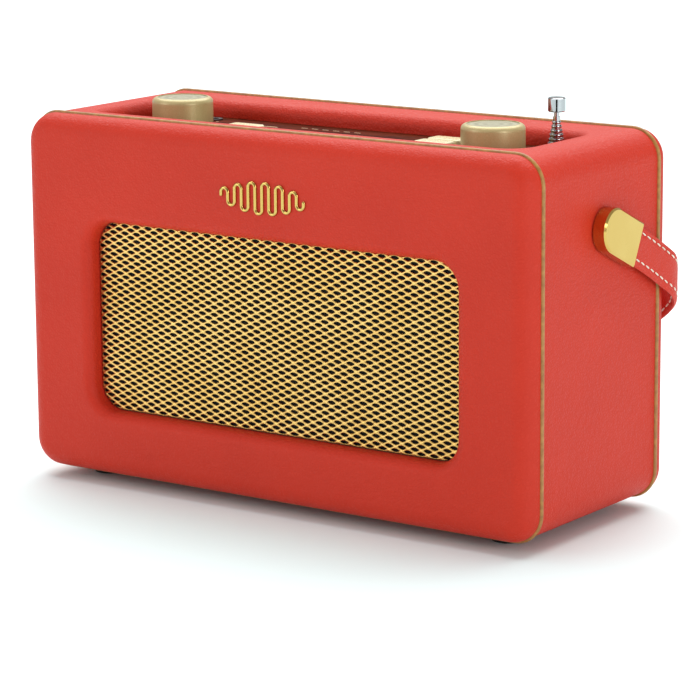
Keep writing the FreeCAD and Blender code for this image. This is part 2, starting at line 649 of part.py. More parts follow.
def board_parts():
    """The key switches, the two rotary encoders and the headphone socket on the board."""
    size = "switch_size / 2"
    spots = key_spots()
    blocks = [("box", "%s - %s" % (x, size), "%s + %s" % (x, size), "%s - %s" % (y, size),
               "%s + %s" % (y, size), "plunger_radius / 4") for x, y in spots]
    base = slab("switch_bases", "XY_Plane", BOARD_TOP, BOARD_TOP + " + switch_height", *blocks,
                several=True)
    tops = slab("switch_plungers", "XY_Plane", BOARD_TOP + " + switch_height",
                BOARD_TOP + " + switch_height + plunger",
                *[("disc", x, y, "plunger_radius") for x, y in spots], several=True)
    node(fuse("key_switches", base, tops), "key_switches")
    reach = "encoder_size / 2"
    bodies = []
    for side, x in (("left", "-knob_x"), ("right", "knob_x")):
        bore = ("disc", x, "knob_y", "shaft_radius + running")
        box = ("box", "%s - %s" % (x, reach), "%s + %s" % (x, reach), "knob_y - " + reach,
               "knob_y + " + reach, "shaft_radius / 4")
        bodies.append(slab("encoder_body_" + side, "XY_Plane", BOARD_TOP,
                           BOARD_TOP + " + encoder_height", box, bore))
        bodies.append(slab("encoder_bush_" + side, "XY_Plane", BOARD_TOP + " + encoder_height",
                           PANEL_TOP, ("disc", x, "knob_y", "bush_radius"), bore))
    node(fuse("encoders", *bodies), "encoders")
    barrel = rod("jack_barrel", "jack_radius",
                 "%s + jack_ring_height - %s" % (PANEL_TOP, BOARD_TOP),
                 ("jack_x", "jack_y", BOARD_TOP), Vector(0, 0, 1))
    ring = rod("jack_nut", "jack_ring", "jack_ring_height", ("jack_x", "jack_y", PANEL_TOP),
               Vector(0, 0, 1))
    bore = rod("jack_hole", "jack_bore", "jack_depth",
               ("jack_x", "jack_y", PANEL_TOP + " + jack_ring_height - jack_depth"),
               Vector(0, 0, 1))
    node(cut("headphone_socket", fuse("jack_body", barrel, ring), bore), "headphone_socket")


def keys():
    """Six keys, each a cap with a retaining flange and a stem over its own switch."""
    for index, (x, y) in enumerate(key_spots(), start=1):
        name = "key_%d" % index
        cap = slab(name + "_cap", "XY_Plane", TRAY_FLOOR, KEY_TOP, key_outline((x, y), "0"))
        dress(cap, "Fillet", "Z", KEY_TOP, "key_rounding")
        ears = ("box", x + " - key_length / 2 - key_flange", x + " + key_length / 2 + key_flange",
                y + " - key_width / 2", y + " + key_width / 2", "key_rounding")
        flange_top = TRAY_FLOOR + " - fit_gap"
        flange = slab(name + "_flange", "XY_Plane", flange_top + " - key_flange", flange_top, ears)
        low = "%s + switch_height + plunger + key_travel + fit_gap / 2" % BOARD_TOP
        stem = rod(name + "_stem", "stem_radius", "%s - (%s)" % (TRAY_FLOOR, low), (x, y, low),
                   Vector(0, 0, 1))
        node(fuse(name, cap, flange, stem), name)


def flatted(name, x, radius, flat, low, high):
    """A round bar with a flat along it, as on a control shaft."""
    bar = rod(name + "_bar", radius, "%s - %s" % (high, low), (x, "knob_y", low), Vector(0, 0, 1))
    waste = slab(name + "_waste", "XY_Plane", low, high,
                 ("box", x + " - 2 * shaft_radius", x + " + 2 * shaft_radius",
                  "knob_y + " + flat, "knob_y + 2 * shaft_radius", "running"))
    return cut(name, bar, waste)


def knob(which, x):
    """One knob: its shaft, the hollow moulded knob and the disc let into its top."""
    shaft_top = "(%s + knob_bore_depth - knob_travel - fit_gap)" % KNOB_FLOOR
    below = flatted(which + "_stub", x, "shaft_radius", "shaft_flat", PANEL_TOP, shaft_top)
    spindle = rod(which + "_spindle", "shaft_radius",
                  "%s - %s - encoder_height / 4" % (PANEL_TOP, BOARD_TOP),
                  (x, "knob_y", BOARD_TOP + " + encoder_height / 4"), Vector(0, 0, 1))
    node(fuse(which + "_shaft_whole", spindle, below), which + "_shaft")
    block = slab(which + "_block", "XY_Plane", KNOB_FLOOR, KNOB_CROWN,
                 ("disc", x, "knob_y", "knob_radius"))
    dress(block, "Fillet", "Z", KNOB_CROWN, "knob_rounding")
    seat = slab(which + "_seat", "XY_Plane",
                KNOB_CROWN + " - inlay_sunk - inlay_thickness", KNOB_CROWN,
                ("disc", x, "knob_y", "inlay_radius"))
    hollow = slab(which + "_hollow", "XY_Plane", KNOB_FLOOR, KNOB_FLOOR + " + knob_bore_depth",
                  ("disc", x, "knob_y", "knob_radius - knob_wall"),
                  ("disc", x, "knob_y", "boss_radius"))
    bore = flatted(which + "_bore", x, "(shaft_radius + running)", "(shaft_flat + running)",
                   KNOB_FLOOR, "(%s + knob_bore_depth)" % KNOB_FLOOR)
    node(cut_all(which + "_knob", block, seat, hollow, bore), which + "_knob")
    disc = slab(which + "_inlay", "XY_Plane", KNOB_CROWN + " - inlay_sunk - inlay_thickness",
                KNOB_CROWN + " - inlay_sunk", ("disc", x, "knob_y", "inlay_radius"))
    node(disc, which + "_inlay")


def speaker_place(made):
    """Stands a piece turned about +Z behind the front board, looking forwards."""
    made.Placement = Placement(Vector(), Rotation(Vector(1, 0, 0), -90))
    for letter, text in zip("xyz", ("speaker_x", PLUG_BACK, "grille_centre")):
        made.setExpression("Placement.Base." + letter, cells(text))
    return made


def screw_spots():
    """The four places on the speaker's flange, in its own plane."""
    circle = "speaker_screw_circle * %.5f" % math.sqrt(0.5)
    return [(x + circle, y + circle) for x in ("", "-") for y in ("", "-")]


def speaker_screws():
    """Four screws through the speaker's flange into the front board."""
    spots = screw_spots()
    shanks = slab("speaker_screw_shanks", "XY_Plane", "speaker_flange - speaker_screw_length",
                  "speaker_flange", *[("disc", x, y, "screw_radius") for x, y in spots],
                  several=True)
    heads = slab("speaker_screw_heads", "XY_Plane", "speaker_flange",
                 "speaker_flange + screw_head_height",
                 *[("disc", x, y, "screw_head") for x, y in spots], several=True)
    screws = speaker_place(fuse("speaker_screws", shanks, heads))
    return node(screws, "speaker_screws")


def speaker():
    """The loudspeaker: steel basket, ring magnet, soft surround and paper cone."""
    edge = "(sound_hole + 1.5 * speaker_flange)"
    frame = turned("speaker_basket", [
        (edge, "0"), ("speaker_radius", "0"), ("speaker_radius", "speaker_flange"),
        (edge + " + speaker_flange", "speaker_flange"),
        ("magnet_radius + speaker_flange", "basket_depth - speaker_flange"),
        ("magnet_radius + speaker_flange", "basket_depth"),
        ("coil_radius + 2 * coil_wall + coil_gap", "basket_depth"),
        ("coil_radius + 2 * coil_wall + coil_gap", "basket_depth - speaker_flange"),
        ("magnet_radius", "basket_depth - speaker_flange"),
        (edge, "2 * speaker_flange")])
    holes = slab("speaker_screw_holes", "XY_Plane", "0", "speaker_flange",
                 *[("disc", x, y, "screw_radius") for x, y in screw_spots()], several=True)
    node(speaker_place(cut("speaker_frame", frame, holes)), "speaker_frame")
    groove = "basket_depth + magnet_depth / 2"
    magnet = turned("speaker_magnet", [
        ("0", "basket_depth"), ("coil_radius - coil_gap", "basket_depth"),
        ("coil_radius - coil_gap", groove), ("coil_radius + 2 * coil_wall + coil_gap", groove),
        ("coil_radius + 2 * coil_wall + coil_gap", "basket_depth"),
        ("magnet_radius", "basket_depth"), ("magnet_radius", "basket_depth + magnet_depth"),
        ("0", "basket_depth + magnet_depth")])
    node(speaker_place(magnet), "speaker_magnet")
    start = "(cone_travel + cone_paper)"
    coil_end = "(basket_depth + magnet_depth / 2 - cone_travel - coil_gap)"
    cone = turned("speaker_cone", [
        ("0", "cone_depth - 3 * cone_paper"), ("coil_radius", "cone_depth"),
        ("cone_radius", start), ("cone_radius", start + " + cone_paper"),
        ("coil_radius + 2 * coil_wall", "cone_depth + 2 * cone_paper"),
        ("coil_radius + 2 * coil_wall", coil_end), ("coil_radius", coil_end),
        ("coil_radius", "cone_depth + cone_paper"), ("0", "cone_depth - 2 * cone_paper")])
    node(speaker_place(cone), "speaker_cone")
    inner = "(cone_radius + coil_gap)"
    surround = turned("speaker_surround", [
        (inner, start), (inner + " + cone_paper", start + " - cone_travel"),
        ("%s / 2 + %s / 2" % (inner, edge), "cone_paper / 2"),
        (edge + " - cone_paper", start + " - cone_travel"), (edge, start),
        (edge, "2 * speaker_flange"), (inner, "2 * speaker_flange")])
    node(speaker_place(surround), "speaker_surround")


def battery_box():
    """The battery holder with its hinge ears, and the four round cells in two rows."""
    floor = CAVITY_FLOOR
    half = HOLDER_HALF
    shell = slab("holder_shell", "XZ_Plane", "holder_front", HOLDER_BACK,
                 ("box", "-" + half, half, floor, HOLDER_TOP, "holder_wall / 4"))
    space = slab("holder_space", "XZ_Plane", "holder_front + holder_wall", HOLDER_BACK,
                 ("box", "-%s + holder_wall" % half, half + " - holder_wall",
                  floor + " + holder_wall", HOLDER_TOP + " - holder_wall", "holder_wall / 4"))
    ears = []
    for side, start, end in (("left", "-" + half, "-%s + holder_wall" % half),
                             ("right", half + " - holder_wall", half)):
        ear = slab("holder_ear_" + side, "YZ_Plane", start, end,
                   ("box", HOLDER_BACK, "back_face", floor, DOOR_AXIS_Z + " + door_axis_height",
                    "holder_wall / 4"))
        hole = slab("holder_hole_" + side, "YZ_Plane", start, end,
                    ("disc", DOOR_AXIS_Y, DOOR_AXIS_Z, "door_stub + running"))
        ears.append(cut("holder_lug_" + side, ear, hole))
    tub = cut("holder_tub", shell, space)
    node(fuse("battery_holder", tub, *ears), "battery_holder")
    cans = []
    middle = "holder_front + holder_wall + cell_gap + cell_radius"
    for row in range(2):
        up = "%s + holder_wall + cell_gap + cell_radius + %d * (2 * cell_radius + cell_gap)" % (
            floor, row)
        for name, sign in (("left", "-"), ("right", "")):
            way = Vector(-1 if sign else 1, 0, 0)
            label = "cell_%s_%d" % (name, row + 1)
            cans.append(rod(label, "cell_radius", "cell_length",
                            (sign + "cell_gap", middle, up), way))
            cans.append(rod(label + "_nub", "cell_nub", "cell_nub_height",
                            ("%s(cell_gap + cell_length)" % sign, middle, up), way))
    node(fuse("battery_cells", *cans), "battery_cells")


def battery_door():
    """The drop-down door, with a rolled lower edge and a moulded stub at each end of it."""
    half = "(%s - holder_wall - door_gap)" % HOLDER_HALF
    plate = slab("door_plate", "XZ_Plane", "back_face - door_thickness", "back_face",
                 ("box", "-" + half, half, DOOR_AXIS_Z, HOLDER_TOP + " - door_gap",
                  "holder_wall / 4"))
    roll = slab("door_barrel", "YZ_Plane", "-" + half, half,
                ("disc", DOOR_AXIS_Y, DOOR_AXIS_Z, "door_roll"))
    reach = "(%s - door_gap)" % HOLDER_HALF
    stubs = slab("door_stubs", "YZ_Plane", "-" + reach, reach,
                 ("disc", DOOR_AXIS_Y, DOOR_AXIS_Z, "door_stub"))
    node(fuse("battery_door", plate, roll, stubs), "battery_door")


def power_socket():
    """The socket plate on the back and the direct-current socket behind it."""
    plate = slab("socket_plate", "XZ_Plane", "back_face", "back_face + leather",
                 ("box", "socket_x - plate_width / 2", "socket_x + plate_width / 2",
                  "socket_z - plate_height / 2", "socket_z + plate_height / 2", "plate_corner"),
                 ("disc", "socket_x", "socket_z", "dc_radius"))
    node(plate, "socket_plate")
    mouth = "back_face + leather + dc_rim"
    can = slab("dc_can", "XZ_Plane", mouth + " - dc_length", mouth,
               ("disc", "socket_x", "socket_z", "dc_radius"))
    bore = slab("dc_bore_ring", "XZ_Plane", mouth + " - dc_depth", mouth,
                ("disc", "socket_x", "socket_z", "dc_bore"),
                ("disc", "socket_x", "socket_z", "dc_pin"))
    node(cut("dc_socket", can, bore), "dc_socket")


def feet():
    """Four rubber feet."""
    spots = [(x, y) for x in ("-%s + foot_inset_side" % HALF, HALF + " - foot_inset_side")
             for y in ("-front_face + foot_inset_end", "back_face - foot_inset_end")]
    made = slab("feet", "XY_Plane", "0", "foot_height",
                *[("disc", x, y, "foot_radius") for x, y in spots], several=True)
    dress(made, "Fillet", "Z", "0", "foot_rounding")
    node(made, "feet")


def mast_place(made):
    """Stands a piece turned about +Z on the mast's axis."""
    made.setExpression("Placement.Base.x", cells("mast_x"))
    made.setExpression("Placement.Base.y", cells("mast_y"))
    return made


def mast():
    """The telescopic mast: guide tube, slider, swivelling elbow, seven sections and the tip."""
    lip = "(%s + guide_rise)" % PANEL_TOP
    guide = turned("antenna_guide", [
        ("guide_bore", CAVITY_FLOOR), ("guide_radius", CAVITY_FLOOR), ("guide_radius", lip),
        ("guide_throat", lip), ("guide_throat", lip + " - throat_length"),
        ("guide_bore", lip + " - throat_length")])
    node(mast_place(guide), "antenna_guide")
    slider = turned("antenna_slider", [
        ("0", "slider_floor"), ("slider_radius", "slider_floor"), ("slider_radius", SLIDER_TOP),
        ("swivel_radius + running", SLIDER_TOP),
        ("swivel_radius + running", SLIDER_TOP + " - swivel_depth"),
        ("0", SLIDER_TOP + " - swivel_depth")])
    node(mast_place(slider), "antenna_slider")
    stub = SLIDER_TOP + " - swivel_depth + running"
    seat = SLIDER_TOP + " + running"
    inner = "%s + mast_clearance / 2" % SECTION_RADII[1]
    elbow = turned("elbow_turned", [
        ("0", stub), ("swivel_radius", stub), ("swivel_radius", seat), ("elbow_radius", seat),
        ("elbow_radius", "mast_floor"), (inner, "mast_floor"),
        (inner, "mast_floor + elbow_plug"), ("0", "mast_floor + elbow_plug")])
    low, high = SLIDER_TOP + " + elbow_shoulder", "mast_floor - elbow_shoulder"
    flats = [slab("elbow_flat_" + side, "XY_Plane", low, high,
                  ("box", "-2 * elbow_radius", "2 * elbow_radius", near, far, "running"))
             for side, near, far in (("front", "-2 * elbow_radius", "-elbow_flat"),
                                     ("back", "elbow_flat", "2 * elbow_radius"))]
    node(mast_place(cut_all("antenna_elbow", elbow, *flats)), "antenna_elbow")
    last = len(SECTION_RADII) - 1
    for index, radius in enumerate(SECTION_RADII):
        top = "(%s + mast_rise + %d * mast_step)" % (PANEL_TOP, index)
        low = "mast_floor"
        if index:
            low = "(mast_floor + elbow_plug + %d * mast_stagger)" % index
        bore = "neck_radius"
        if index < last:
            bore = "%s + mast_clearance" % SECTION_RADII[index + 1]
        tube = turned("antenna_section_%d" % (index + 1), [
            (bore, low), (str(radius), low), (str(radius), top), (bore, top)])
        node(mast_place(tube), "antenna_section_%d" % (index + 1))
    rod_top = "(%s + mast_rise + %d * mast_step)" % (PANEL_TOP, last)
    cap = rod_top + " + neck_height"
    tip = turned("antenna_tip", [
        ("0", rod_top + " - spigot_length"), ("neck_radius", rod_top + " - spigot_length"),
        ("neck_radius", cap), ("tip_radius - tip_rounding", cap),
        ("tip_radius", cap + " + tip_rounding"),
        ("tip_radius", cap + " + tip_height - tip_rounding"),
        ("tip_radius - tip_rounding", cap + " + tip_height"), ("0", cap + " + tip_height")])
    node(mast_place(tip), "antenna_tip")


def strap_place(made):
    """Hangs a piece on the pivot line, at the strap's resting angle behind the case."""
    turn = Rotation(Vector(1, 0, 0), -value("strap_rest"))
    made.Placement = Placement(Vector(), turn)
    made.setExpression("Placement.Base.y", cells("pivot_y"))
    made.setExpression("Placement.Base.z", cells(PIVOT_Z))
    return made


def strap_route():
    """Half of the strap's middle line seen from above, as (across, back, heading, fall).

    It falls ever more steeply to the turn behind the case, then levels off towards the grip."""
    side = value(STRAP_OUTER) - value("strap_thickness") / 2
    corner = math.hypot(max(value("front_face"), value("back_face")), value("pivot_drop"))
    back = corner + value("strap_clearance")
    bend, level = value("strap_bend"), value("strap_level")
    rest, steepest = math.radians(value("strap_rest")), math.radians(value("strap_steepest"))
    start, cap_end = (value(name) * math.cos(rest) for name in ("strap_start", "cap_reach"))
    steps = 8

    def fall(along):
        return rest + (steepest - rest) * max(0, along - cap_end) / (back - cap_end)

    route = [(-side, start, math.pi / 2, rest)]
    for step in range(steps):
        along = cap_end + (back - bend - cap_end) * step / steps
        route.append((-side, along, math.pi / 2, fall(along)))
    for step in range(steps + 1):
        heading = math.pi / 2 * (1 - step / steps)
        along = back - bend + bend * math.cos(heading)
        route.append((bend - side - bend * math.sin(heading), along, heading, fall(along)))
    for step in range(1, steps + 1):
        share = step / steps
        eased = 1 - share * share * (3 - 2 * share)
        route.append((bend - side + level * share, back, 0, steepest * eased))
    return route


def strap_sections():
    """A rectangle across the strap at each place along it, from one end to the other."""
    route = strap_route()
    route += [(-x, y, -heading, -fall) for x, y, heading, fall in reversed(route)]
    thick, wide = value("strap_thickness") / 2, value("strap_width") / 2
    height = -value("strap_start") * math.sin(math.radians(value("strap_rest")))
    sections = []
    for index, (x, y, heading, fall) in enumerate(route):
        if index:
            before = route[index - 1]
            height -= math.hypot(x - before[0], y - before[1]) * math.tan((fall + before[3]) / 2)
        level = Vector(math.cos(heading), math.sin(heading), 0)
        outward = Vector(-level.y, level.x, 0) * thick
        over = (level * math.sin(fall) + Vector(0, 0, math.cos(fall))) * wide
        middle = Vector(x, y, height)
        corners = [middle + outward + over, middle + outward - over,
                   middle - outward - over, middle - outward + over]
        sections.append(Part.makePolygon(corners + corners[:1]))
    return sections


def carrying_strap():
    """The leather strap that hangs in a U behind the case, and the brass cap on each of its ends."""
    edge = "strap_width / 2"
    inner_half = "(%s - strap_thickness)" % STRAP_OUTER
    strap = doc.addObject("Part::Feature", "handle_strap")
    strap.Shape = Part.makeLoft(strap_sections(), True, True)
    strap.Placement = Placement(Vector(0, value("pivot_y"), value(PIVOT_Z)), Rotation())
    node(strap, "handle_strap")
    for side, sign in (("left", "-"), ("right", "")):
        near, far = CAP_INNER, "(%s + cap_thickness)" % CAP_INNER
        slot = (inner_half, STRAP_OUTER)
        entry = "(%s + stud_entry + running)" % CAP_INNER
        if sign:
            near, far = "-" + far, "-" + near
            slot = ("-" + slot[1], "-" + slot[0])
        shell = slab("cap_shell_" + side, "YZ_Plane", near, far,
                     ("dee", "cap_radius", "cap_reach"))
        dress(shell, "Chamfer", "X", near if sign else far, "cap_chamfer")
        pocket_space = slab("cap_slot_" + side, "YZ_Plane", *slot,
                            ("box", "strap_start", "cap_reach + strap_start", "-" + edge, edge,
                             "running"))
        bore = rod("cap_bore_" + side, "stud_radius + running", "%s - %s" % (entry, CAP_INNER),
                   (sign + CAP_INNER, "0", "0"), Vector(-1 if sign else 1, 0, 0))
        name = "handle_cap_" + side
        node(strap_place(cut_all(name, shell, pocket_space, bore)), name)


def check():
    """Stops the script where an object failed or a piece is not a sound solid."""
    doc.recompute()
    for item in doc.Objects:
        bad = [state for state in item.State if state in ("Invalid", "Error")]
        if bad:
            raise RuntimeError("%s is %s" % (item.Name, bad))
    for made in nodes:
        shape = made.Shape
        if shape.isNull() or not shape.isValid() or not shape.Solids:
            raise RuntimeError("%s has no sound solid" % made.Label)


def write():
    """Writes each piece to its own file, and prints its size."""
    os.makedirs("parts", exist_ok=True)
    for made in nodes:
        made.Shape.exportStep("parts/%s.step" % made.Label)
        box = made.Shape.BoundBox
        print("%-18s %d solids, X %.1f..%.1f, Y %.1f..%.1f, Z %.1f..%.1f" % (
            made.Label, len(made.Shape.Solids), box.XMin, box.XMax, box.YMin, box.YMax,
            box.ZMin, box.ZMax))


def main():
    fill_sheet()
    screws = case_ring()
    front_panel()
    back_panel(screws)
    piping("front_piping", "-front_seam")
    piping("back_piping", "back_seam")
    grille()
    badge()
    control_deck()
    board_parts()
    keys()
    knob("volume", "-knob_x")
    knob("tuning", "knob_x")
    speaker()
    battery_box()
    battery_door()
    power_socket()
    feet()
    mast()
    carrying_strap()
    check()
    write()


main()
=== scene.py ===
import json
import math

import bmesh
import bpy
from mathutils import Matrix, Vector


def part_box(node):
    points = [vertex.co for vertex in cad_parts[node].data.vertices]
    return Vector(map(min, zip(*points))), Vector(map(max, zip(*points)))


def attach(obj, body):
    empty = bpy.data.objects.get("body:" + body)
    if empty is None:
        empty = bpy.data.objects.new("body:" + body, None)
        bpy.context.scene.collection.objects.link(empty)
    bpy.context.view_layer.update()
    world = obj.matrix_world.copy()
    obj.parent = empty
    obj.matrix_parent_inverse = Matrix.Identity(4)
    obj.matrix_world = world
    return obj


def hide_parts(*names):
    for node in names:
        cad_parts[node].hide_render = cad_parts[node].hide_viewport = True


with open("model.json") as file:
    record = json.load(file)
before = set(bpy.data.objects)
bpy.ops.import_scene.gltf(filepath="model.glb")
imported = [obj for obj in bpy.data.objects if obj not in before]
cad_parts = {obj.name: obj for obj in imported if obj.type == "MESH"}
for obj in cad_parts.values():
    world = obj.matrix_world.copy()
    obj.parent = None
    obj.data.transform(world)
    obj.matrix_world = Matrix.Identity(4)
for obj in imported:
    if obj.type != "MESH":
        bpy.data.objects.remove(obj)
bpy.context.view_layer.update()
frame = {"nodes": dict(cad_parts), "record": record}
nodes = frame["nodes"]
scene = bpy.context.scene
millimetre = 0.001
print("frame loaded:", len(nodes), "parts")

camera = {
    "place": (0.741, -1.0335, 0.3253),
    "turn": 35.454,  # degrees round to the left from straight ahead
    "tilt": 11.818,  # degrees down from level
    "roll": -0.3865,
    "lens": 161.6,
}


def addCamera():
    made = bpy.data.objects.new("camera", bpy.data.cameras.new("camera"))
    scene.collection.objects.link(made)
    made.data.lens = camera["lens"]
    made.matrix_world = (
        Matrix.Translation(camera["place"])
        @ Matrix.Rotation(math.radians(camera["turn"]), 4, "Z")
        @ Matrix.Rotation(math.radians(90 - camera["tilt"]), 4, "X")
        @ Matrix.Rotation(math.radians(camera["roll"]), 4, "Z")
    )
    scene.camera = made


addCamera()
scene.view_settings.view_transform = "Standard"
print("camera placed")


def toLinear(colour):  # "#rrggbb" as it looks on a screen, to the linear values a shader takes
    screen = [int(colour[i:i + 2], 16) / 255 for i in (1, 3, 5)]
    return [c / 12.92 if c <= 0.04045 else ((c + 0.055) / 1.055) ** 2.4 for c in screen] + [1]


def perMetre(spacing):  # a repeat in millimetres, as the scale of a texture
    return 1 / (spacing * millimetre)


def addNode(tree, kind, inputs=None, **settings):  # sockets given as inputs are linked, the rest are set
    node = tree.nodes.new(kind)
    for name, value in settings.items():
        setattr(node, name, value)
    for name, value in (inputs or {}).items():
        if isinstance(value, bpy.types.NodeSocket):
            tree.links.new(value, node.inputs[name])
        else:
            node.inputs[name].default_value = value
    return node


def newMaterial(name, finish):  # a shader with this finish, its node tree and the part's own coordinates
    material = bpy.data.materials.new(name)
    material.use_nodes = True
    tree = material.node_tree
    shader = tree.nodes["Principled BSDF"]
    for setting, value in finish.items():
        shader.inputs[setting].default_value = value
    place = addNode(tree, "ShaderNodeTexCoord").outputs["Object"]
    return material, tree, shader, place


def stretched(tree, place, spacing):  # coordinates counted in repeats of this many millimetres each way
    return addNode(tree, "ShaderNodeMapping", {
        "Vector": place, "Scale": [perMetre(each) for each in spacing],
    }).outputs["Vector"]


def blendColours(tree, amount, low, high):  # from one colour to the other as amount goes from 0 to 1
    ramp = addNode(tree, "ShaderNodeValToRGB", {"Fac": amount})
    ramp.color_ramp.elements[0].color = toLinear(low)
    ramp.color_ramp.elements[1].color = toLinear(high)
    return ramp


def between(tree, value, low, high, fromLow=0.0, fromHigh=1.0):  # a value moved from one span to another
    return addNode(tree, "ShaderNodeMapRange", {
        "Value": value, "From Min": fromLow, "From Max": fromHigh, "To Min": low, "To Max": high,
    }).outputs["Result"]


def addBump(tree, height, depth, strength=1.0, under=None):  # depth in millimetres
    inputs = {"Height": height, "Distance": depth * millimetre, "Strength": strength}
    if under is not None:
        inputs["Normal"] = under
    return addNode(tree, "ShaderNodeBump", inputs).outputs["Normal"]


leather = {
    "colour": ("#be2a16", "#ca311c"),  # darker in the creases of the grain as painted shade, lighter on its crowns as painted light
    "pebble": 1.3,   # millimetres across one pebble; real ones are nearer 0.8, too fine to show
    "crease": 3.2,   # longer creases that wander between the pebbles
    "wander": 1.2,   # how far they push the pebbles about
    "creaseDepth": 0.5,
    "depth": 0.1,
    "mottle": 45.0,  # slow change of colour across a hide
}


def makeLeather():  # coated cowhide with a rolled-in pebble grain: a soft, broken shine
    material, tree, shader, place = newMaterial("pebble grain coated leather", {
        "IOR": 1.45, "Specular IOR Level": 0.28, "Sheen Weight": 0.02, "Sheen Roughness": 0.5,
        "Sheen Tint": toLinear("#ff9c88"),
    })
    wander = addNode(tree, "ShaderNodeTexNoise", {
        "Vector": place, "Scale": perMetre(leather["crease"]), "Detail": 3.0, "Roughness": 0.55,
    })
    bent = addNode(tree, "ShaderNodeVectorMath", {
        0: wander.outputs["Color"], 1: (leather["wander"] * millimetre,) * 3,
    }, operation="MULTIPLY")
    moved = addNode(tree, "ShaderNodeVectorMath", {
        0: place, 1: bent.outputs["Vector"],
    }, operation="ADD").outputs["Vector"]
    pebbles = addNode(tree, "ShaderNodeTexVoronoi", {
        "Vector": moved, "Scale": perMetre(leather["pebble"]),
    }, feature="DISTANCE_TO_EDGE").outputs["Distance"]
    crowns = between(tree, pebbles, 0.0, 1.0, 0.0, 0.3)
    mottle = addNode(tree, "ShaderNodeTexNoise", {
        "Vector": place, "Scale": perMetre(leather["mottle"]), "Detail": 2.0,
    }).outputs["Fac"]
    # painted shade and light: the crowns term darkens the creases of the grain and lightens its crowns; the
    # mottle term is the hide's own slow change of colour
    shade = addNode(tree, "ShaderNodeMath", {
        0: between(tree, crowns, 0.3, 0.5), 1: between(tree, mottle, 0.0, 0.5, 0.3, 0.7),
    }, operation="ADD").outputs["Value"]
    colours = blendColours(tree, shade, *leather["colour"])
    creased = addBump(tree, wander.outputs["Fac"], leather["creaseDepth"], 0.7)
    grain = addBump(tree, crowns, leather["depth"], 0.8, creased)
    tree.links.new(colours.outputs["Color"], shader.inputs["Base Color"])
    tree.links.new(between(tree, crowns, 0.56, 0.46), shader.inputs["Roughness"])
    tree.links.new(grain, shader.inputs["Normal"])
    return material


piping = {"colour": ("#94622c", "#b4813f"), "fibre": 2.5}


def makePiping():  # waxed tan hide folded round a cord: satin, with a long faint figure
    material, tree, shader, place = newMaterial("waxed tan piping", {"IOR": 1.5, "Roughness": 0.4})
    fibres = addNode(tree, "ShaderNodeTexNoise", {
        "Vector": place, "Scale": perMetre(piping["fibre"]), "Detail": 2.0,
    }).outputs["Fac"]
    colours = blendColours(tree, between(tree, fibres, 0.0, 1.0, 0.3, 0.7), *piping["colour"])
    tree.links.new(colours.outputs["Color"], shader.inputs["Base Color"])
    tree.links.new(addBump(tree, fibres, 0.06, 0.4), shader.inputs["Normal"])
    return material


thread = {"colour": ("#d9cdb6", "#fff8ea"), "ply": 0.45}


def makeThread():  # bonded nylon thread, three plies twisted: pale, with a slanting ridge
    material, tree, shader, place = newMaterial("bonded nylon thread", {
        "IOR": 1.53, "Roughness": 0.55, "Sheen Weight": 0.2,
    })
    plies = addNode(tree, "ShaderNodeTexWave", {
        "Vector": stretched(tree, place, (thread["ply"],) * 3), "Scale": 1.0, "Distortion": 1.0,
    }, bands_direction="DIAGONAL").outputs["Fac"]
    # painted shade and highlight: the colour follows the plies, darker in the grooves between them and
    # lighter on their ridges
    colours = blendColours(tree, plies, *thread["colour"])
    tree.links.new(colours.outputs["Color"], shader.inputs["Base Color"])
    tree.links.new(addBump(tree, plies, 0.08, 0.7), shader.inputs["Normal"])
    return material


panelWood = {"colour": ("#230703", "#6a260b"), "grain": (26.0, 1.1, 8.0), "pore": (7.0, 0.25, 2.0)}


def makePanelWood():  # rosewood veneer, oiled and waxed: red-brown streaks and a low shine
    material, tree, shader, place = newMaterial("waxed rosewood veneer", {
        "IOR": 1.45, "Roughness": 0.6, "Specular IOR Level": 0.03,
    })
    grain = addNode(tree, "ShaderNodeTexNoise", {
        "Vector": stretched(tree, place, panelWood["grain"]), "Scale": 1.0, "Detail": 4.0,
        "Distortion": 0.8,
    }).outputs["Fac"]
    pores = addNode(tree, "ShaderNodeTexNoise", {
        "Vector": stretched(tree, place, panelWood["pore"]), "Scale": 1.0, "Detail": 2.0,
    }).outputs["Fac"]
    streaks = addNode(tree, "ShaderNodeMath", {
        0: grain, 1: between(tree, pores, 0.7, 1.1, 0.35, 0.5),
    }, operation="MULTIPLY").outputs["Value"]
    colours = blendColours(tree, between(tree, streaks, 0.0, 1.0, 0.32, 0.68), *panelWood["colour"])
    tree.links.new(colours.outputs["Color"], shader.inputs["Base Color"])
    tree.links.new(addBump(tree, pores, 0.04, 0.4), shader.inputs["Normal"])
    return material


boardWood = {"colour": ("#8a6a44", "#b79568"), "chip": 1.6}


def makeBoardWood():  # raw fibreboard, pressed from short fibres: dull and faintly speckled
    material, tree, shader, place = newMaterial("raw fibreboard", {"IOR": 1.5, "Roughness": 0.85})
    chips = addNode(tree, "ShaderNodeTexNoise", {
        "Vector": place, "Scale": perMetre(boardWood["chip"]), "Detail": 4.0,
    }).outputs["Fac"]
    colours = blendColours(tree, between(tree, chips, 0.0, 1.0, 0.3, 0.7), *boardWood["colour"])
    tree.links.new(colours.outputs["Color"], shader.inputs["Base Color"])
    tree.links.new(addBump(tree, chips, 0.1, 0.5), shader.inputs["Normal"])
    return material


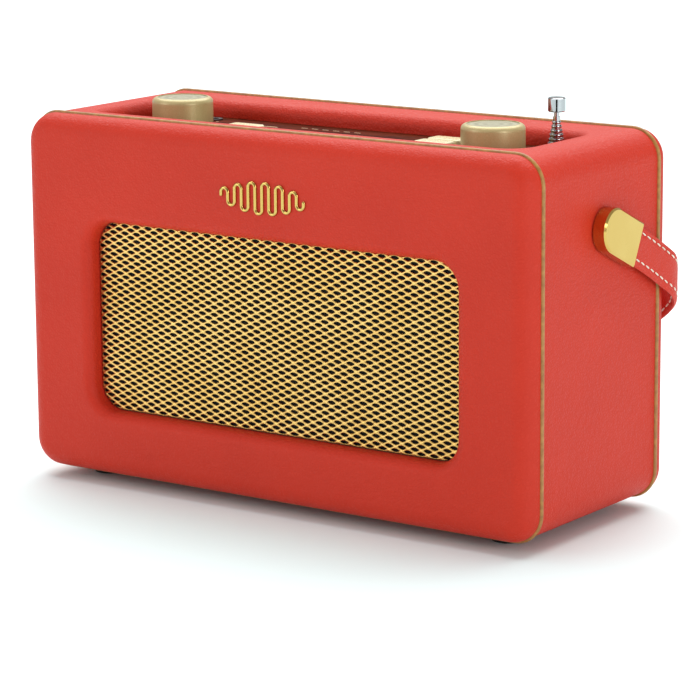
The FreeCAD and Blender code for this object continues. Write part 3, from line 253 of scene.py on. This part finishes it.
def makeMetal(name, colours, roughness, scratch, depth, grime=20.0):
    # one way for every metal here: a tint that drifts a little, and polishing lines or grit in the shine
    material, tree, shader, place = newMaterial(name, {"Metallic": 1.0})
    drift = addNode(tree, "ShaderNodeTexNoise", {
        "Vector": place, "Scale": perMetre(grime), "Detail": 3.0,
    }).outputs["Fac"]
    lines = addNode(tree, "ShaderNodeTexNoise", {
        "Vector": stretched(tree, place, scratch), "Scale": 1.0, "Detail": 2.0,
    }).outputs["Fac"]
    tint = blendColours(tree, between(tree, drift, 0.0, 1.0, 0.35, 0.65), *colours)
    tree.links.new(tint.outputs["Color"], shader.inputs["Base Color"])
    tree.links.new(between(tree, lines, *roughness, 0.3, 0.7), shader.inputs["Roughness"])
    tree.links.new(addBump(tree, lines, depth, 0.5), shader.inputs["Normal"])
    return material


metals = {
    # nickel-chrome plate, mirror bright: hard, dark-edged reflections
    "chrome": ("bright chrome plate", ("#a0a0a2", "#b4b4b6"), (0.05, 0.1), (0.6, 0.6, 4.0), 0.002),
    # brass buffed and lacquered: warm mirror with soft wheel marks
    "brass": ("polished lacquered brass", ("#cba85c", "#cfad62"), (0.1, 0.15), (0.5, 0.5, 0.5), 0.001),
    # expanded steel with gold plate over a blasted skin: bright but soft-edged
    "grille_gold": ("satin gold plated steel", ("#e3b768", "#e9c074"), (0.3, 0.42), (0.7, 0.7, 0.7), 0.01),
    # zinc plated steel screws: bluish and a little dull
    "steel": ("zinc plated steel", ("#a6a9ad", "#c6c9cc"), (0.25, 0.4), (0.5, 0.5, 0.5), 0.01),
    # turned aluminium spindle: fine rings round its length
    "shaft_metal": ("turned aluminium", ("#b4b4b2", "#cfcfcc"), (0.25, 0.38), (6.0, 6.0, 0.3), 0.012),
    # shrink-sleeved steel cell cans, read as dull metal
    "cell_can": ("drawn steel can", ("#8f9397", "#b2b6ba"), (0.3, 0.45), (8.0, 0.6, 0.6), 0.01),
}


knobSkin = {"colour": ("#bdae78", "#c6b783"), "grit": 0.5}


def makeKnobSkin():  # ABS with a champagne metal-flake lacquer: satin, half way between paint and metal
    material, tree, shader, place = newMaterial("champagne lacquered ABS", {
        "IOR": 1.5, "Metallic": 0.2, "Coat Weight": 0.15, "Coat Roughness": 0.25,
    })
    flake = addNode(tree, "ShaderNodeTexNoise", {
        "Vector": place, "Scale": perMetre(knobSkin["grit"]), "Detail": 2.0,
    }).outputs["Fac"]
    colours = blendColours(tree, between(tree, flake, 0.0, 1.0, 0.3, 0.7), *knobSkin["colour"])
    tree.links.new(colours.outputs["Color"], shader.inputs["Base Color"])
    tree.links.new(between(tree, flake, 0.32, 0.44), shader.inputs["Roughness"])
    tree.links.new(addBump(tree, flake, 0.012, 0.4), shader.inputs["Normal"])
    return material


waveScale = 1 / 20  # a wave texture repeats about every twentieth of its scale
knobDisc = {"colour": ("#a9a588", "#c2bea2"), "ring": 0.55}


def makeKnobDisc():  # spun aluminium disc, anodised pale: rings that catch the light as a soft fan, with a painted highlight and shade, each ring lighter on its ridge and darker in its groove
    material, tree, shader, place = newMaterial("spun anodised aluminium", {
        "Metallic": 0.8, "Roughness": 0.34,
    })
    centres = [(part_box(node)[0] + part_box(node)[1]) / 2 for node in ("volume_inlay", "tuning_inlay")]
    inside = addNode(tree, "ShaderNodeSeparateXYZ", {"Vector": place})
    across = addNode(tree, "ShaderNodeMath", {
        0: inside.outputs["X"],
    }, operation="ABSOLUTE").outputs["Value"]
    folded = addNode(tree, "ShaderNodeCombineXYZ", {"X": across, "Y": inside.outputs["Y"]})
    centred = addNode(tree, "ShaderNodeVectorMath", {  # both discs in one material: they mirror each other
        0: folded.outputs["Vector"], 1: (abs(centres[0].x), centres[0].y, 0),
    }, operation="SUBTRACT").outputs["Vector"]
    rings = addNode(tree, "ShaderNodeTexWave", {
        "Vector": centred, "Scale": perMetre(knobDisc["ring"]) * waveScale,
        "Distortion": 0.6, "Detail": 2.0,
    }, wave_type="RINGS", rings_direction="Z").outputs["Fac"]
    # painted highlight and shade: the colour goes lighter and darker with the rings' ridges and grooves
    colours = blendColours(tree, rings, *knobDisc["colour"])
    tree.links.new(colours.outputs["Color"], shader.inputs["Base Color"])
    tree.links.new(addBump(tree, rings, 0.01, 0.5), shader.inputs["Normal"])
    return material


def makeMoulded(name, colours, roughness, spark, depth, ior=1.5, coat=0.0):
    # one way for moulded and cast pieces: spark-eroded skin of the mould, and a shade that drifts slowly
    material, tree, shader, place = newMaterial(name, {
        "IOR": ior, "Coat Weight": coat, "Coat Roughness": 0.05,
    })
    skin = addNode(tree, "ShaderNodeTexNoise", {
        "Vector": place, "Scale": perMetre(spark), "Detail": 2.0,
    }).outputs["Fac"]
    drift = addNode(tree, "ShaderNodeTexNoise", {
        "Vector": place, "Scale": perMetre(spark * 30), "Detail": 2.0,
    }).outputs["Fac"]
    tint = blendColours(tree, between(tree, drift, 0.0, 1.0, 0.35, 0.65), *colours)
    tree.links.new(tint.outputs["Color"], shader.inputs["Base Color"])
    tree.links.new(between(tree, skin, *roughness, 0.3, 0.7), shader.inputs["Roughness"])
    tree.links.new(addBump(tree, skin, depth, 0.5), shader.inputs["Normal"])
    return material


mouldings = {
    # keys in gloss ABS, a yellowed cream
    "cream_plastic": ("gloss cream ABS", ("#e6dcab", "#efe7bd"), (0.22, 0.3), 0.8, 0.004),
    # inner mouldings and socket rings: black ABS with a fine mould grain
    "black_plastic": ("black ABS", ("#131314", "#1d1d1f"), (0.35, 0.5), 0.7, 0.02),
    # the door: the same plastic with a coarser grain
    "door_plastic": ("grained black ABS", ("#161617", "#222224"), (0.45, 0.6), 0.9, 0.06),
    # display window: smoked acrylic, dark and wet-looking
    "display_glass": ("smoked acrylic", ("#0b0c0f", "#111318"), (0.04, 0.07), 1.5, 0.001, 1.49, 0.6),
    # display unit: glass over a dark reflector
    "display_unit": ("display glass", ("#1c2326", "#29332f"), (0.1, 0.2), 1.0, 0.004),
    # circuit board: solder resist over copper
    "circuit_board": ("solder resist on fibreglass", ("#0f4f2c", "#17673b"), (0.3, 0.42), 1.2, 0.02),
    # speaker magnet: pressed ferrite, matt charcoal
    "ferrite": ("pressed ferrite", ("#242528", "#33353a"), (0.6, 0.8), 0.5, 0.04),
    # speaker cone: felted paper
    "cone_paper": ("felted paper", ("#1b1a18", "#2a2825"), (0.75, 0.9), 0.9, 0.08),
    # feet and cone surround: soft black rubber
    "rubber": ("moulded rubber", ("#121212", "#1c1c1c"), (0.6, 0.75), 0.8, 0.03),
    # printed legends on the panel: silk-screen ink
    "legend_ink": ("silk-screen ink", ("#d8b48a", "#e6c8a2"), (0.45, 0.55), 0.5, 0.01),
}


speakerCloth = {"colour": ("#030303", "#15130f"), "thread": 0.9}


def makeSpeakerCloth():  # open plain-weave polyester: dull threads, and painted shade in the holes between them
    material, tree, shader, place = newMaterial("woven speaker cloth", {"IOR": 1.5, "Roughness": 0.9})
    weave = [addNode(tree, "ShaderNodeTexWave", {
        "Vector": place, "Scale": perMetre(speakerCloth["thread"]) * waveScale,
    }, bands_direction=way).outputs["Fac"] for way in ("X", "Z")]
    both = addNode(tree, "ShaderNodeMath", {
        0: weave[0], 1: weave[1],
    }, operation="MULTIPLY").outputs["Value"]
    # painted shade: the holes of the weave are coloured darkest, for the dark seen through them
    colours = blendColours(tree, both, *speakerCloth["colour"])
    tree.links.new(colours.outputs["Color"], shader.inputs["Base Color"])
    tree.links.new(addBump(tree, both, 0.15, 0.6), shader.inputs["Normal"])
    return material


finishes = {
    "red_leather": makeLeather(), "piping": makePiping(), "thread": makeThread(),
    "panel_wood": makePanelWood(), "board_wood": makeBoardWood(),
    "knob_plastic": makeKnobSkin(), "knob_disc": makeKnobDisc(), "black_cloth": makeSpeakerCloth(),
}
finishes.update({slot: makeMetal(*each) for slot, each in metals.items()})
finishes.update({slot: makeMoulded(*each) for slot, each in mouldings.items()})

for part in frame["record"]["subparts"]:
    for materialSlot in nodes[part["node"]].material_slots:
        materialSlot.material = finishes[part["material_slot"]]
print("materials made:", len(finishes))


def addMesh(name, points, faces, slot, body, smooth=True):  # points in metres, in the frame of the part
    mesh = bpy.data.meshes.new(name)
    mesh.from_pydata([tuple(point) for point in points], [], faces)
    mesh.validate()
    shape = bmesh.new()
    shape.from_mesh(mesh)
    bmesh.ops.remove_doubles(shape, verts=shape.verts, dist=0.002 * millimetre)
    bmesh.ops.recalc_face_normals(shape, faces=shape.faces)
    shape.to_mesh(mesh)
    shape.free()
    mesh.materials.append(finishes[slot])
    made = bpy.data.objects.new(name, mesh)
    scene.collection.objects.link(made)
    if smooth:
        mesh.shade_smooth()
        mesh.set_sharp_from_angle(angle=math.radians(35))
    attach(made, body)
    return made


def loft(rings, closed):  # faces between rings of points that all have the same count
    count = len(rings[0])
    faces = []
    for i in range(len(rings) if closed else len(rings) - 1):
        here, there = i * count, (i + 1) % len(rings) * count
        for j in range(count):
            k = (j + 1) % count
            faces.append((here + j, here + k, there + k, there + j))
    if not closed:
        faces += [tuple(range(count)), tuple(range((len(rings) - 1) * count, len(rings) * count))]
    return [point for ring in rings for point in ring], faces


def turned(profile, centre, sides):  # a closed profile of (radius, height), turned about an upright axis
    rings = []
    for i in range(sides):
        angle = math.tau * i / sides
        rings.append([
            Vector((centre[0] + radius * math.cos(angle), centre[1] + radius * math.sin(angle), height))
            for radius, height in profile
        ])
    return loft(rings, closed=True)


grille = {
    "across": 6.15,      # millimetres from one diamond to the next along its long way
    "up": 3.08,
    "openAcross": 3.9,   # the hole in the diamond
    "openUp": 1.55,
    "roundness": 1.7,    # 1 is a sharp diamond hole, 2 an ellipse
    "sheet": 0.3,
    "twist": -0.25,      # how far the strands lean out of the sheet, so that they face up a little
    "corners": 12,       # points round each hole
    "corner": 10.7,      # radius of the sheet's own corners
    "inset": 0.3,        # how far the sheet stops short of its plate's edge
}


def roundedEdge(x, z, halfWidth, halfHeight, radius):  # the nearest point in a rounded rectangle
    farX, farZ = abs(x) - (halfWidth - radius), abs(z) - (halfHeight - radius)
    if farX > 0 and farZ > 0:
        reach = math.hypot(farX, farZ)
        if reach > radius:
            farX, farZ = farX * radius / reach, farZ * radius / reach
        return math.copysign(halfWidth - radius + farX, x), math.copysign(halfHeight - radius + farZ, z)
    return max(-halfWidth, min(halfWidth, x)), max(-halfHeight, min(halfHeight, z))


def grilleSheet(halfWidth, halfHeight, radius):  # points as (across, depth, up) in millimetres, and faces
    halfAcross, halfUp = grille["across"] / 2, grille["up"] / 2
    points, faces = [], []
    rows, columns = math.ceil(halfHeight / halfUp), math.ceil(halfWidth / halfAcross)
    count = grille["corners"]
    for row in range(-rows, rows + 1):
        for column in range(-columns, columns + 1):
            if (row + column) % 2:
                continue
            start = len(points)
            for power, wide, high in (
                (2.0, halfAcross, halfUp),
                (2 / grille["roundness"], grille["openAcross"] / 2, grille["openUp"] / 2),
            ):
                for i in range(count):
                    cosine, sine = (f(math.tau * i / count) for f in (math.cos, math.sin))
                    z = math.copysign(high * abs(sine) ** power, sine)
                    lean = grille["twist"] * z / high if power < 2 else 0
                    points.append((
                        column * halfAcross + math.copysign(wide * abs(cosine) ** power, cosine),
                        lean,
                        row * halfUp + z,
                    ))
            for i in range(count):
                j = (i + 1) % count
                faces.append((start + i, start + j, start + count + j, start + count + i))
    inside = [roundedEdge(x, z, halfWidth, halfHeight, radius) == (x, z) for x, y, z in points]
    faces = [face for face in faces if any(inside[corner] for corner in face)]
    clamped = []
    for x, y, z in points:
        edgeX, edgeZ = roundedEdge(x, z, halfWidth, halfHeight, radius)
        clamped.append((edgeX, y, edgeZ))
    return clamped, faces


def makeGrille():
    low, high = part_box("grille")
    middle = (low + high) / 2
    halfWidth, halfHeight = (high - low).x / 2 / millimetre, (high - low).z / 2 / millimetre
    inset = grille["inset"]
    points, faces = grilleSheet(halfWidth - inset, halfHeight - inset, grille["corner"] - inset)
    placed = [Vector((middle.x + x * millimetre, middle.y + y * millimetre, middle.z + z * millimetre))
              for x, y, z in points]
    made = addMesh("grille_mesh", placed, faces, "grille_gold", "case")
    thicken = made.modifiers.new("thickness", "SOLIDIFY")
    thicken.thickness = grille["sheet"] * millimetre
    thicken.offset = 0
    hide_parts("grille")


makeGrille()
print("grille made")


strap = {
    "lean": 24.9,        # degrees that it runs below level
    "thickness": 3.0,
    "halfWidth": 8.0,
    "starts": 6.0,       # from the pivot, inside the cap
    "capEnd": 19.3,      # from the pivot, where it leaves the cap and begins to sag
    "steepest": 34.0,    # degrees below level where it turns behind the case
    "bend": 19.0,        # radius of the turn, seen from above
    "level": 35.0,       # how far past the turn it stops falling
    "groove": 0.3,       # how far the sewing pulls the leather in
    "grooveWidth": 0.7,
    "dome": 0.25,        # how far the outside falls towards its edges
    "inside": 0.92,      # the inside is this much flatter than the outside
    "turnSteps": 16,     # along each arm and round each turn
    "levelSteps": 12,    # along each half of the grip
    "crownSteps": 32,    # across the outside
}
stitch = {
    "row": 5.4, "length": 2.9, "pitch": 4.3, "thickness": 0.62, "slant": 7.0, "afterCap": 21.0,
    "rings": 6, "sides": 8,
    "pinch": 0.12,       # the least share of its section that a thread keeps at its ends
    "sink": 0.32,        # how deep the ends dive, in thread thicknesses
}


def strapPivot():
    low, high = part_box("pivot_studs")
    return (low + high) / 2


def strapRoute():  # the strap's middle line as (across, back, heading, fall), seen from above
    low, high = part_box("handle_strap")
    thick = strap["thickness"] / 2
    side, back = high.x / millimetre - thick, (high - strapPivot()).y / millimetre - thick
    lean, steepest = math.radians(strap["lean"]), math.radians(strap["steepest"])
    bend, first, straight = strap["bend"], strap["starts"] * math.cos(lean), back - strap["bend"]
    capEnd = strap["capEnd"] * math.cos(lean)

    def fall(along):
        return lean + (steepest - lean) * max(0.0, along - capEnd) / (back - capEnd)

    route = []
    turns, levels = strap["turnSteps"], strap["levelSteps"]
    for i in range(turns + 1):
        along = first + (straight - first) * i / turns
        route.append((-side, along, math.pi / 2, fall(along)))
    for i in range(1, turns + 1):
        heading = math.pi / 2 * (1 - i / turns)
        along = straight + bend * math.cos(heading)
        route.append((bend - side - bend * math.sin(heading), along, heading, fall(along)))
    for i in range(1, levels + 1):
        share = i / levels
        eased = steepest * (1 - share * share * (3 - 2 * share))
        route.append((bend - side + strap["level"] * share, back, 0.0, eased))
    for i in range(1, levels):
        route.append(((side - bend - strap["level"]) * (i / levels - 1), back, 0.0, 0.0))
    mirrored = [(-x, y, -heading, -down) for x, y, heading, down in reversed(route)]
    return route + [(0.0, back, 0.0, 0.0)] + mirrored


def strapStations():  # places along the strap: (middle, forward, outward, over) in the part's own frame
    pivot = strapPivot()
    stations, height, last = [], -strap["starts"] * math.sin(math.radians(strap["lean"])), None
    for x, y, heading, fall in strapRoute():
        if last is not None:
            height -= math.hypot(x - last[0], y - last[1]) * math.tan((fall + last[2]) / 2)
        last = (x, y, fall)
        level = Vector((math.cos(heading), math.sin(heading), 0))
        forward = level * math.cos(fall) - Vector((0, 0, math.sin(fall)))
        over = level * math.sin(fall) + Vector((0, 0, math.cos(fall)))
        outward = Vector((-level.y, level.x, 0))
        stations.append((pivot + Vector((x, y, height)) * millimetre, forward, outward, over))
    return stations


def strapSection():  # (over, out) round the strap: crowned, flatter inside, pulled in along the sewing
    half, edge = strap["halfWidth"], strap["thickness"] / 2
    outside = []
    steps = strap["crownSteps"]
    for i in range(steps + 1):
        over = -half + 2 * half * i / steps
        crown = edge * (1 - abs(over / half) ** 7) ** 0.5
        dip = strap["groove"] * math.exp(-((abs(over) - stitch["row"]) / strap["grooveWidth"]) ** 2)
        outside.append((over, crown - dip - strap["dome"] * (over / half) ** 2))
    return outside + [(over, -out * strap["inside"]) for over, out in reversed(outside[1:-1])]


def makeStrap():
    section = strapSection()
    stations = strapStations()
    rings = [[middle + (outward * out + over * across) * millimetre for across, out in section]
             for middle, forward, outward, over in stations]
    points, faces = loft(rings, closed=False)
    made = addMesh("handle_strap_leather", points, faces, "red_leather", "handle")
    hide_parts("handle_strap")
    makeStitches(stations)


def alongStrap(stations, distance):  # where the strap is after this many metres
    for here, there in zip(stations, stations[1:]):
        step = (there[0] - here[0]).length
        if distance <= step:
            return [a.lerp(b, distance / step) for a, b in zip(here, there)]
        distance -= step


def stitchShape(length, thickness):  # a thread end to end, pinched where it dives into the hide
    rings, sides, shape = stitch["rings"], stitch["sides"], []
    for i in range(rings + 1):
        share = i / rings * 2 - 1
        radius = thickness / 2 * max(stitch["pinch"], (1 - share ** 4)) ** 0.5
        sink = stitch["sink"] * thickness * share ** 4
        ring = []
        for j in range(sides):
            angle = math.tau * j / sides
            ring.append((share * length / 2, radius * math.cos(angle), radius * math.sin(angle) - sink))
        shape.append(ring)
    return shape


def makeStitches(stations):
    total = sum((b[0] - a[0]).length for a, b in zip(stations, stations[1:])) / millimetre
    surface = strap["thickness"] / 2 - strap["groove"]
    first = stitch["afterCap"] - strap["starts"]
    count = int((total - 2 * first) // stitch["pitch"])
    margin = (total - count * stitch["pitch"]) / 2
    shape = stitchShape(stitch["length"], stitch["thickness"])
    slant = math.radians(stitch["slant"])
    points, faces = [], []
    for i in range(count + 1):
        middle, forward, outward, over = alongStrap(stations, (margin + i * stitch["pitch"]) * millimetre)
        for row in (-stitch["row"], stitch["row"]):
            for face in (1, -strap["inside"]):  # the outside of the strap, and the inside
                ringPoints = []
                for ring in shape:
                    placed = []
                    for run, side, rise in ring:
                        ahead = run * math.cos(slant) - side * math.sin(slant)
                        across = row + run * math.sin(slant) + side * math.cos(slant)
                        lifted = outward * face * (surface + rise)
                        placed.append(middle + (forward * ahead + over * across + lifted) * millimetre)
                    ringPoints.append(placed)
                made, sides = loft(ringPoints, closed=False)
                faces += [tuple(corner + len(points) for corner in each) for each in sides]
                points += made
    addMesh("handle_stitches", points, faces, "thread", "handle")


makeStrap()
print("strap and stitches made")


tube = {
    "collar": 1.15,  # height of the rolled collar
    "groove": 0.22,  # depth of the neck under it
    "slack": 0.05,   # between the tube and the next one out
    "waist": 0.06,   # how far the collar's ends draw in
    "crest": 0.6,    # how far below the mouth the collar is widest
    "lip": 0.3, "halfLip": 0.15,
    "round": 0.15, "sides": 40,
}


def makeTube(number, bore, body):  # one drawn tube of the mast, with a rolled collar at its mouth
    node = "antenna_section_" + str(number)
    low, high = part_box(node)
    centre = (low + high) / 2
    radius = (high - low).x / 2 / millimetre
    bottom, top = low.z / millimetre, high.z / millimetre
    neck, soft, slack, collar = radius - tube["groove"], tube["round"], tube["slack"], tube["collar"]
    profile = [
        (radius - slack, bottom), (radius - slack, top - collar - tube["lip"]),
        (neck, top - collar - tube["halfLip"]), (neck, top - collar),
        (radius - tube["waist"], top - collar + soft), (radius, top - tube["crest"]),
        (radius - slack, top - soft), (radius - soft, top), (bore, top), (bore, bottom),
    ]
    points, faces = turned(profile, (centre.x / millimetre, centre.y / millimetre), tube["sides"])
    made = addMesh(node + "_tube", [point * millimetre for point in points], faces, "chrome", body)
    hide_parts(node)


def makeMast():
    radii = []
    for number in range(1, 8):
        low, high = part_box("antenna_section_%d" % number)
        radii.append((high - low).x / 2 / millimetre)
    for number in range(1, 7):
        body = "antenna_mast" if number == 1 else "antenna_stage_%d" % number
        makeTube(number, radii[number] + tube["slack"], body)


makeMast()
print("antenna tubes made")


legend = {
    "height": 0.06, "thin": 0.5,
    "corners": 16,                       # points round each stroke
    "status": (-41.5, 9.5, 7.0, 0.9),    # x, y, length and width of the long stroke
    "row": (-27.0, 13.5), "rowPitch": 5.4, "rowLength": 3.2, "rowCount": 6,
    "tickReach": 3.0,                    # from the knob's side to the ticks round its back
    "tickTurn": 28, "tickLength": 1.3,
}


def printedBar(x, y, length, width, top):  # one printed stroke with rounded ends, lying on the panel
    outline = []
    for i in range(legend["corners"]):
        angle = math.tau * i / legend["corners"]
        end = math.copysign(length / 2 - width / 2, math.cos(angle))
        outline.append((x + end + width / 2 * math.cos(angle), y + width / 2 * math.sin(angle)))
    return loft([[Vector((px, py, top + rise)) * millimetre for px, py in outline]
                 for rise in (0, legend["height"])], closed=False)


def makeLegends():
    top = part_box("control_panel")[1].z / millimetre
    marks = [legend["status"]]
    startX, rowY = legend["row"]
    for i in range(legend["rowCount"]):  # a row of short strokes behind the window
        marks.append((startX + legend["rowPitch"] * i, rowY, legend["rowLength"], legend["thin"]))
    for knob in ("volume_knob", "tuning_knob"):  # ticks round the back of each knob
        low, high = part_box(knob)
        centre, reach = (low + high) / 2 / millimetre, (high - low).x / 2 / millimetre + legend["tickReach"]
        for tick in range(-2, 3):
            angle = math.radians(90 + tick * legend["tickTurn"])
            x, y = centre.x + reach * math.cos(angle), centre.y + reach * math.sin(angle)
            marks.append((x, y, legend["tickLength"], legend["thin"]))
    points, faces = [], []
    for mark in marks:
        made, sides = printedBar(*mark, top)
        faces += [tuple(corner + len(points) for corner in each) for each in sides]
        points += made
    addMesh("panel_legends", points, faces, "legend_ink", "case", smooth=False)


makeLegends()
print("legends printed")


ribs = {
    "count": 9, "pitch": 2.6, "halfLength": 15.0, "proud": 0.55, "halfHeight": 0.7,
    "below": 6.0,    # from the door's top edge to the first rib
    "taper": 0.5,    # the last rib would be this much shorter than the first
    "sunk": 0.1, "steps": 12, "round": 6,
}


def makeDoorRibs():  # finger ribs under the catch of the door
    low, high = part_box("battery_door")
    middle, face, top = (low.x + high.x) / 2 / millimetre, high.y / millimetre, high.z / millimetre
    points, faces = [], []
    for i in range(ribs["count"]):
        height = top - ribs["below"] - i * ribs["pitch"]
        half = ribs["halfLength"] * (1 - ribs["taper"] * i / ribs["count"])
        rings = []
        for j in range(ribs["steps"] + 1):
            share = j / ribs["steps"] * 2 - 1
            swell = max(0.15, 1 - share ** 8) ** 0.5
            ring = []
            for k in range(ribs["round"] + 1):
                angle = math.pi * k / ribs["round"]
                ring.append(Vector((
                    middle + half * share,
                    face - ribs["sunk"] + ribs["proud"] * swell * math.sin(angle),
                    height + ribs["halfHeight"] * swell * math.cos(angle),
                )) * millimetre)
            rings.append(ring)
        made, sides = loft(rings, closed=False)
        faces += [tuple(corner + len(points) for corner in each) for each in sides]
        points += made
    addMesh("battery_door_ribs", points, faces, "door_plastic", "door")


makeDoorRibs()
print("door ribs made")


studio = {"floor": 12.0, "paper": "#eefdfd", "sky": 0.5}
lamps = {
    # name: (place, aim, width, height, watts)
    "frontSoftbox": ((-1.6, -2.0, 0.9), (0, 0, 0.08), 1.2, 1.2, 12),
    "sideSoftbox": ((2.4, -0.7, 0.6), (0.1, 0, 0.08), 0.8, 1.2, 16),
}
daylight = {"strength": 3.3, "angle": 70, "from": (-0.25, 0.45, 1.0)}  # a wide overhead scrim
flags = {
    # black cards that only mirrors see: they draw the dark edges in polished metal
    # name: (place, aim, width, height)
    "nearFlag": ((0.6, -0.8, 0.3), (0.09, 0.02, 0.15), 0.4, 1.2),
    "backFlag": ((1.5, 1.1, 0.5), (0.05, 0, 0.12), 0.5, 1.4),
}


def faceTo(place, aim):
    facing = (Vector(aim) - Vector(place)).to_track_quat("-Z", "Y").to_matrix().to_4x4()
    return Matrix.Translation(place) @ facing


def addSheet(name, width, height, material):  # a flat card of the studio, lying at the origin
    x, y = width / 2, height / 2
    mesh = bpy.data.meshes.new(name)
    mesh.from_pydata([(-x, -y, 0), (x, -y, 0), (x, y, 0), (-x, y, 0)], [], [(0, 1, 2, 3)])
    sheet = bpy.data.objects.new(name, mesh)
    scene.collection.objects.link(sheet)
    mesh.materials.append(material)
    return sheet


def addFlag(name, place, aim, width, height):
    material = newMaterial("black duvetyne", {
        "Base Color": toLinear("#0a0a0a"), "Roughness": 1.0, "Specular IOR Level": 0.0,
    })[0]
    flag = addSheet(name, width, height, material)
    flag.matrix_world = faceTo(place, aim)
    flag.visible_camera = flag.visible_diffuse = flag.visible_shadow = False


def makeFloor():  # paper with a faint cool tint, which keeps the shade round the red case grey
    material = newMaterial("white seamless paper", {
        "Base Color": toLinear(studio["paper"]), "Roughness": 0.9, "Specular IOR Level": 0.2,
    })[0]
    addSheet("studio_floor", studio["floor"], studio["floor"], material)


def makeSky():  # white to look at, dimmer as a light
    world = bpy.data.worlds.new("studio")
    scene.world = world
    world.use_nodes = True
    seen = addNode(world.node_tree, "ShaderNodeLightPath").outputs["Is Camera Ray"]
    strength = between(world.node_tree, seen, studio["sky"], 1.0)
    background = world.node_tree.nodes["Background"]
    background.inputs["Color"].default_value = (1, 1, 1, 1)
    world.node_tree.links.new(strength, background.inputs["Strength"])


def addDaylight():
    light = bpy.data.lights.new("overheadScrim", "SUN")
    light.energy = daylight["strength"]
    light.angle = math.radians(daylight["angle"])
    lamp = bpy.data.objects.new("overheadScrim", light)
    scene.collection.objects.link(lamp)
    lamp.matrix_world = Vector(daylight["from"]).to_track_quat("Z", "Y").to_matrix().to_4x4()


def addLamp(name, place, aim, width, height, watts):
    light = bpy.data.lights.new(name, "AREA")
    light.shape, light.size, light.size_y, light.energy = "RECTANGLE", width, height, watts
    lamp = bpy.data.objects.new(name, light)
    scene.collection.objects.link(lamp)
    lamp.matrix_world = faceTo(place, aim)


makeFloor()
makeSky()
addDaylight()
for lampName, lampFacts in lamps.items():
    addLamp(lampName, *lampFacts)
for flagName, flagFacts in flags.items():
    addFlag(flagName, *flagFacts)
print("studio lit")
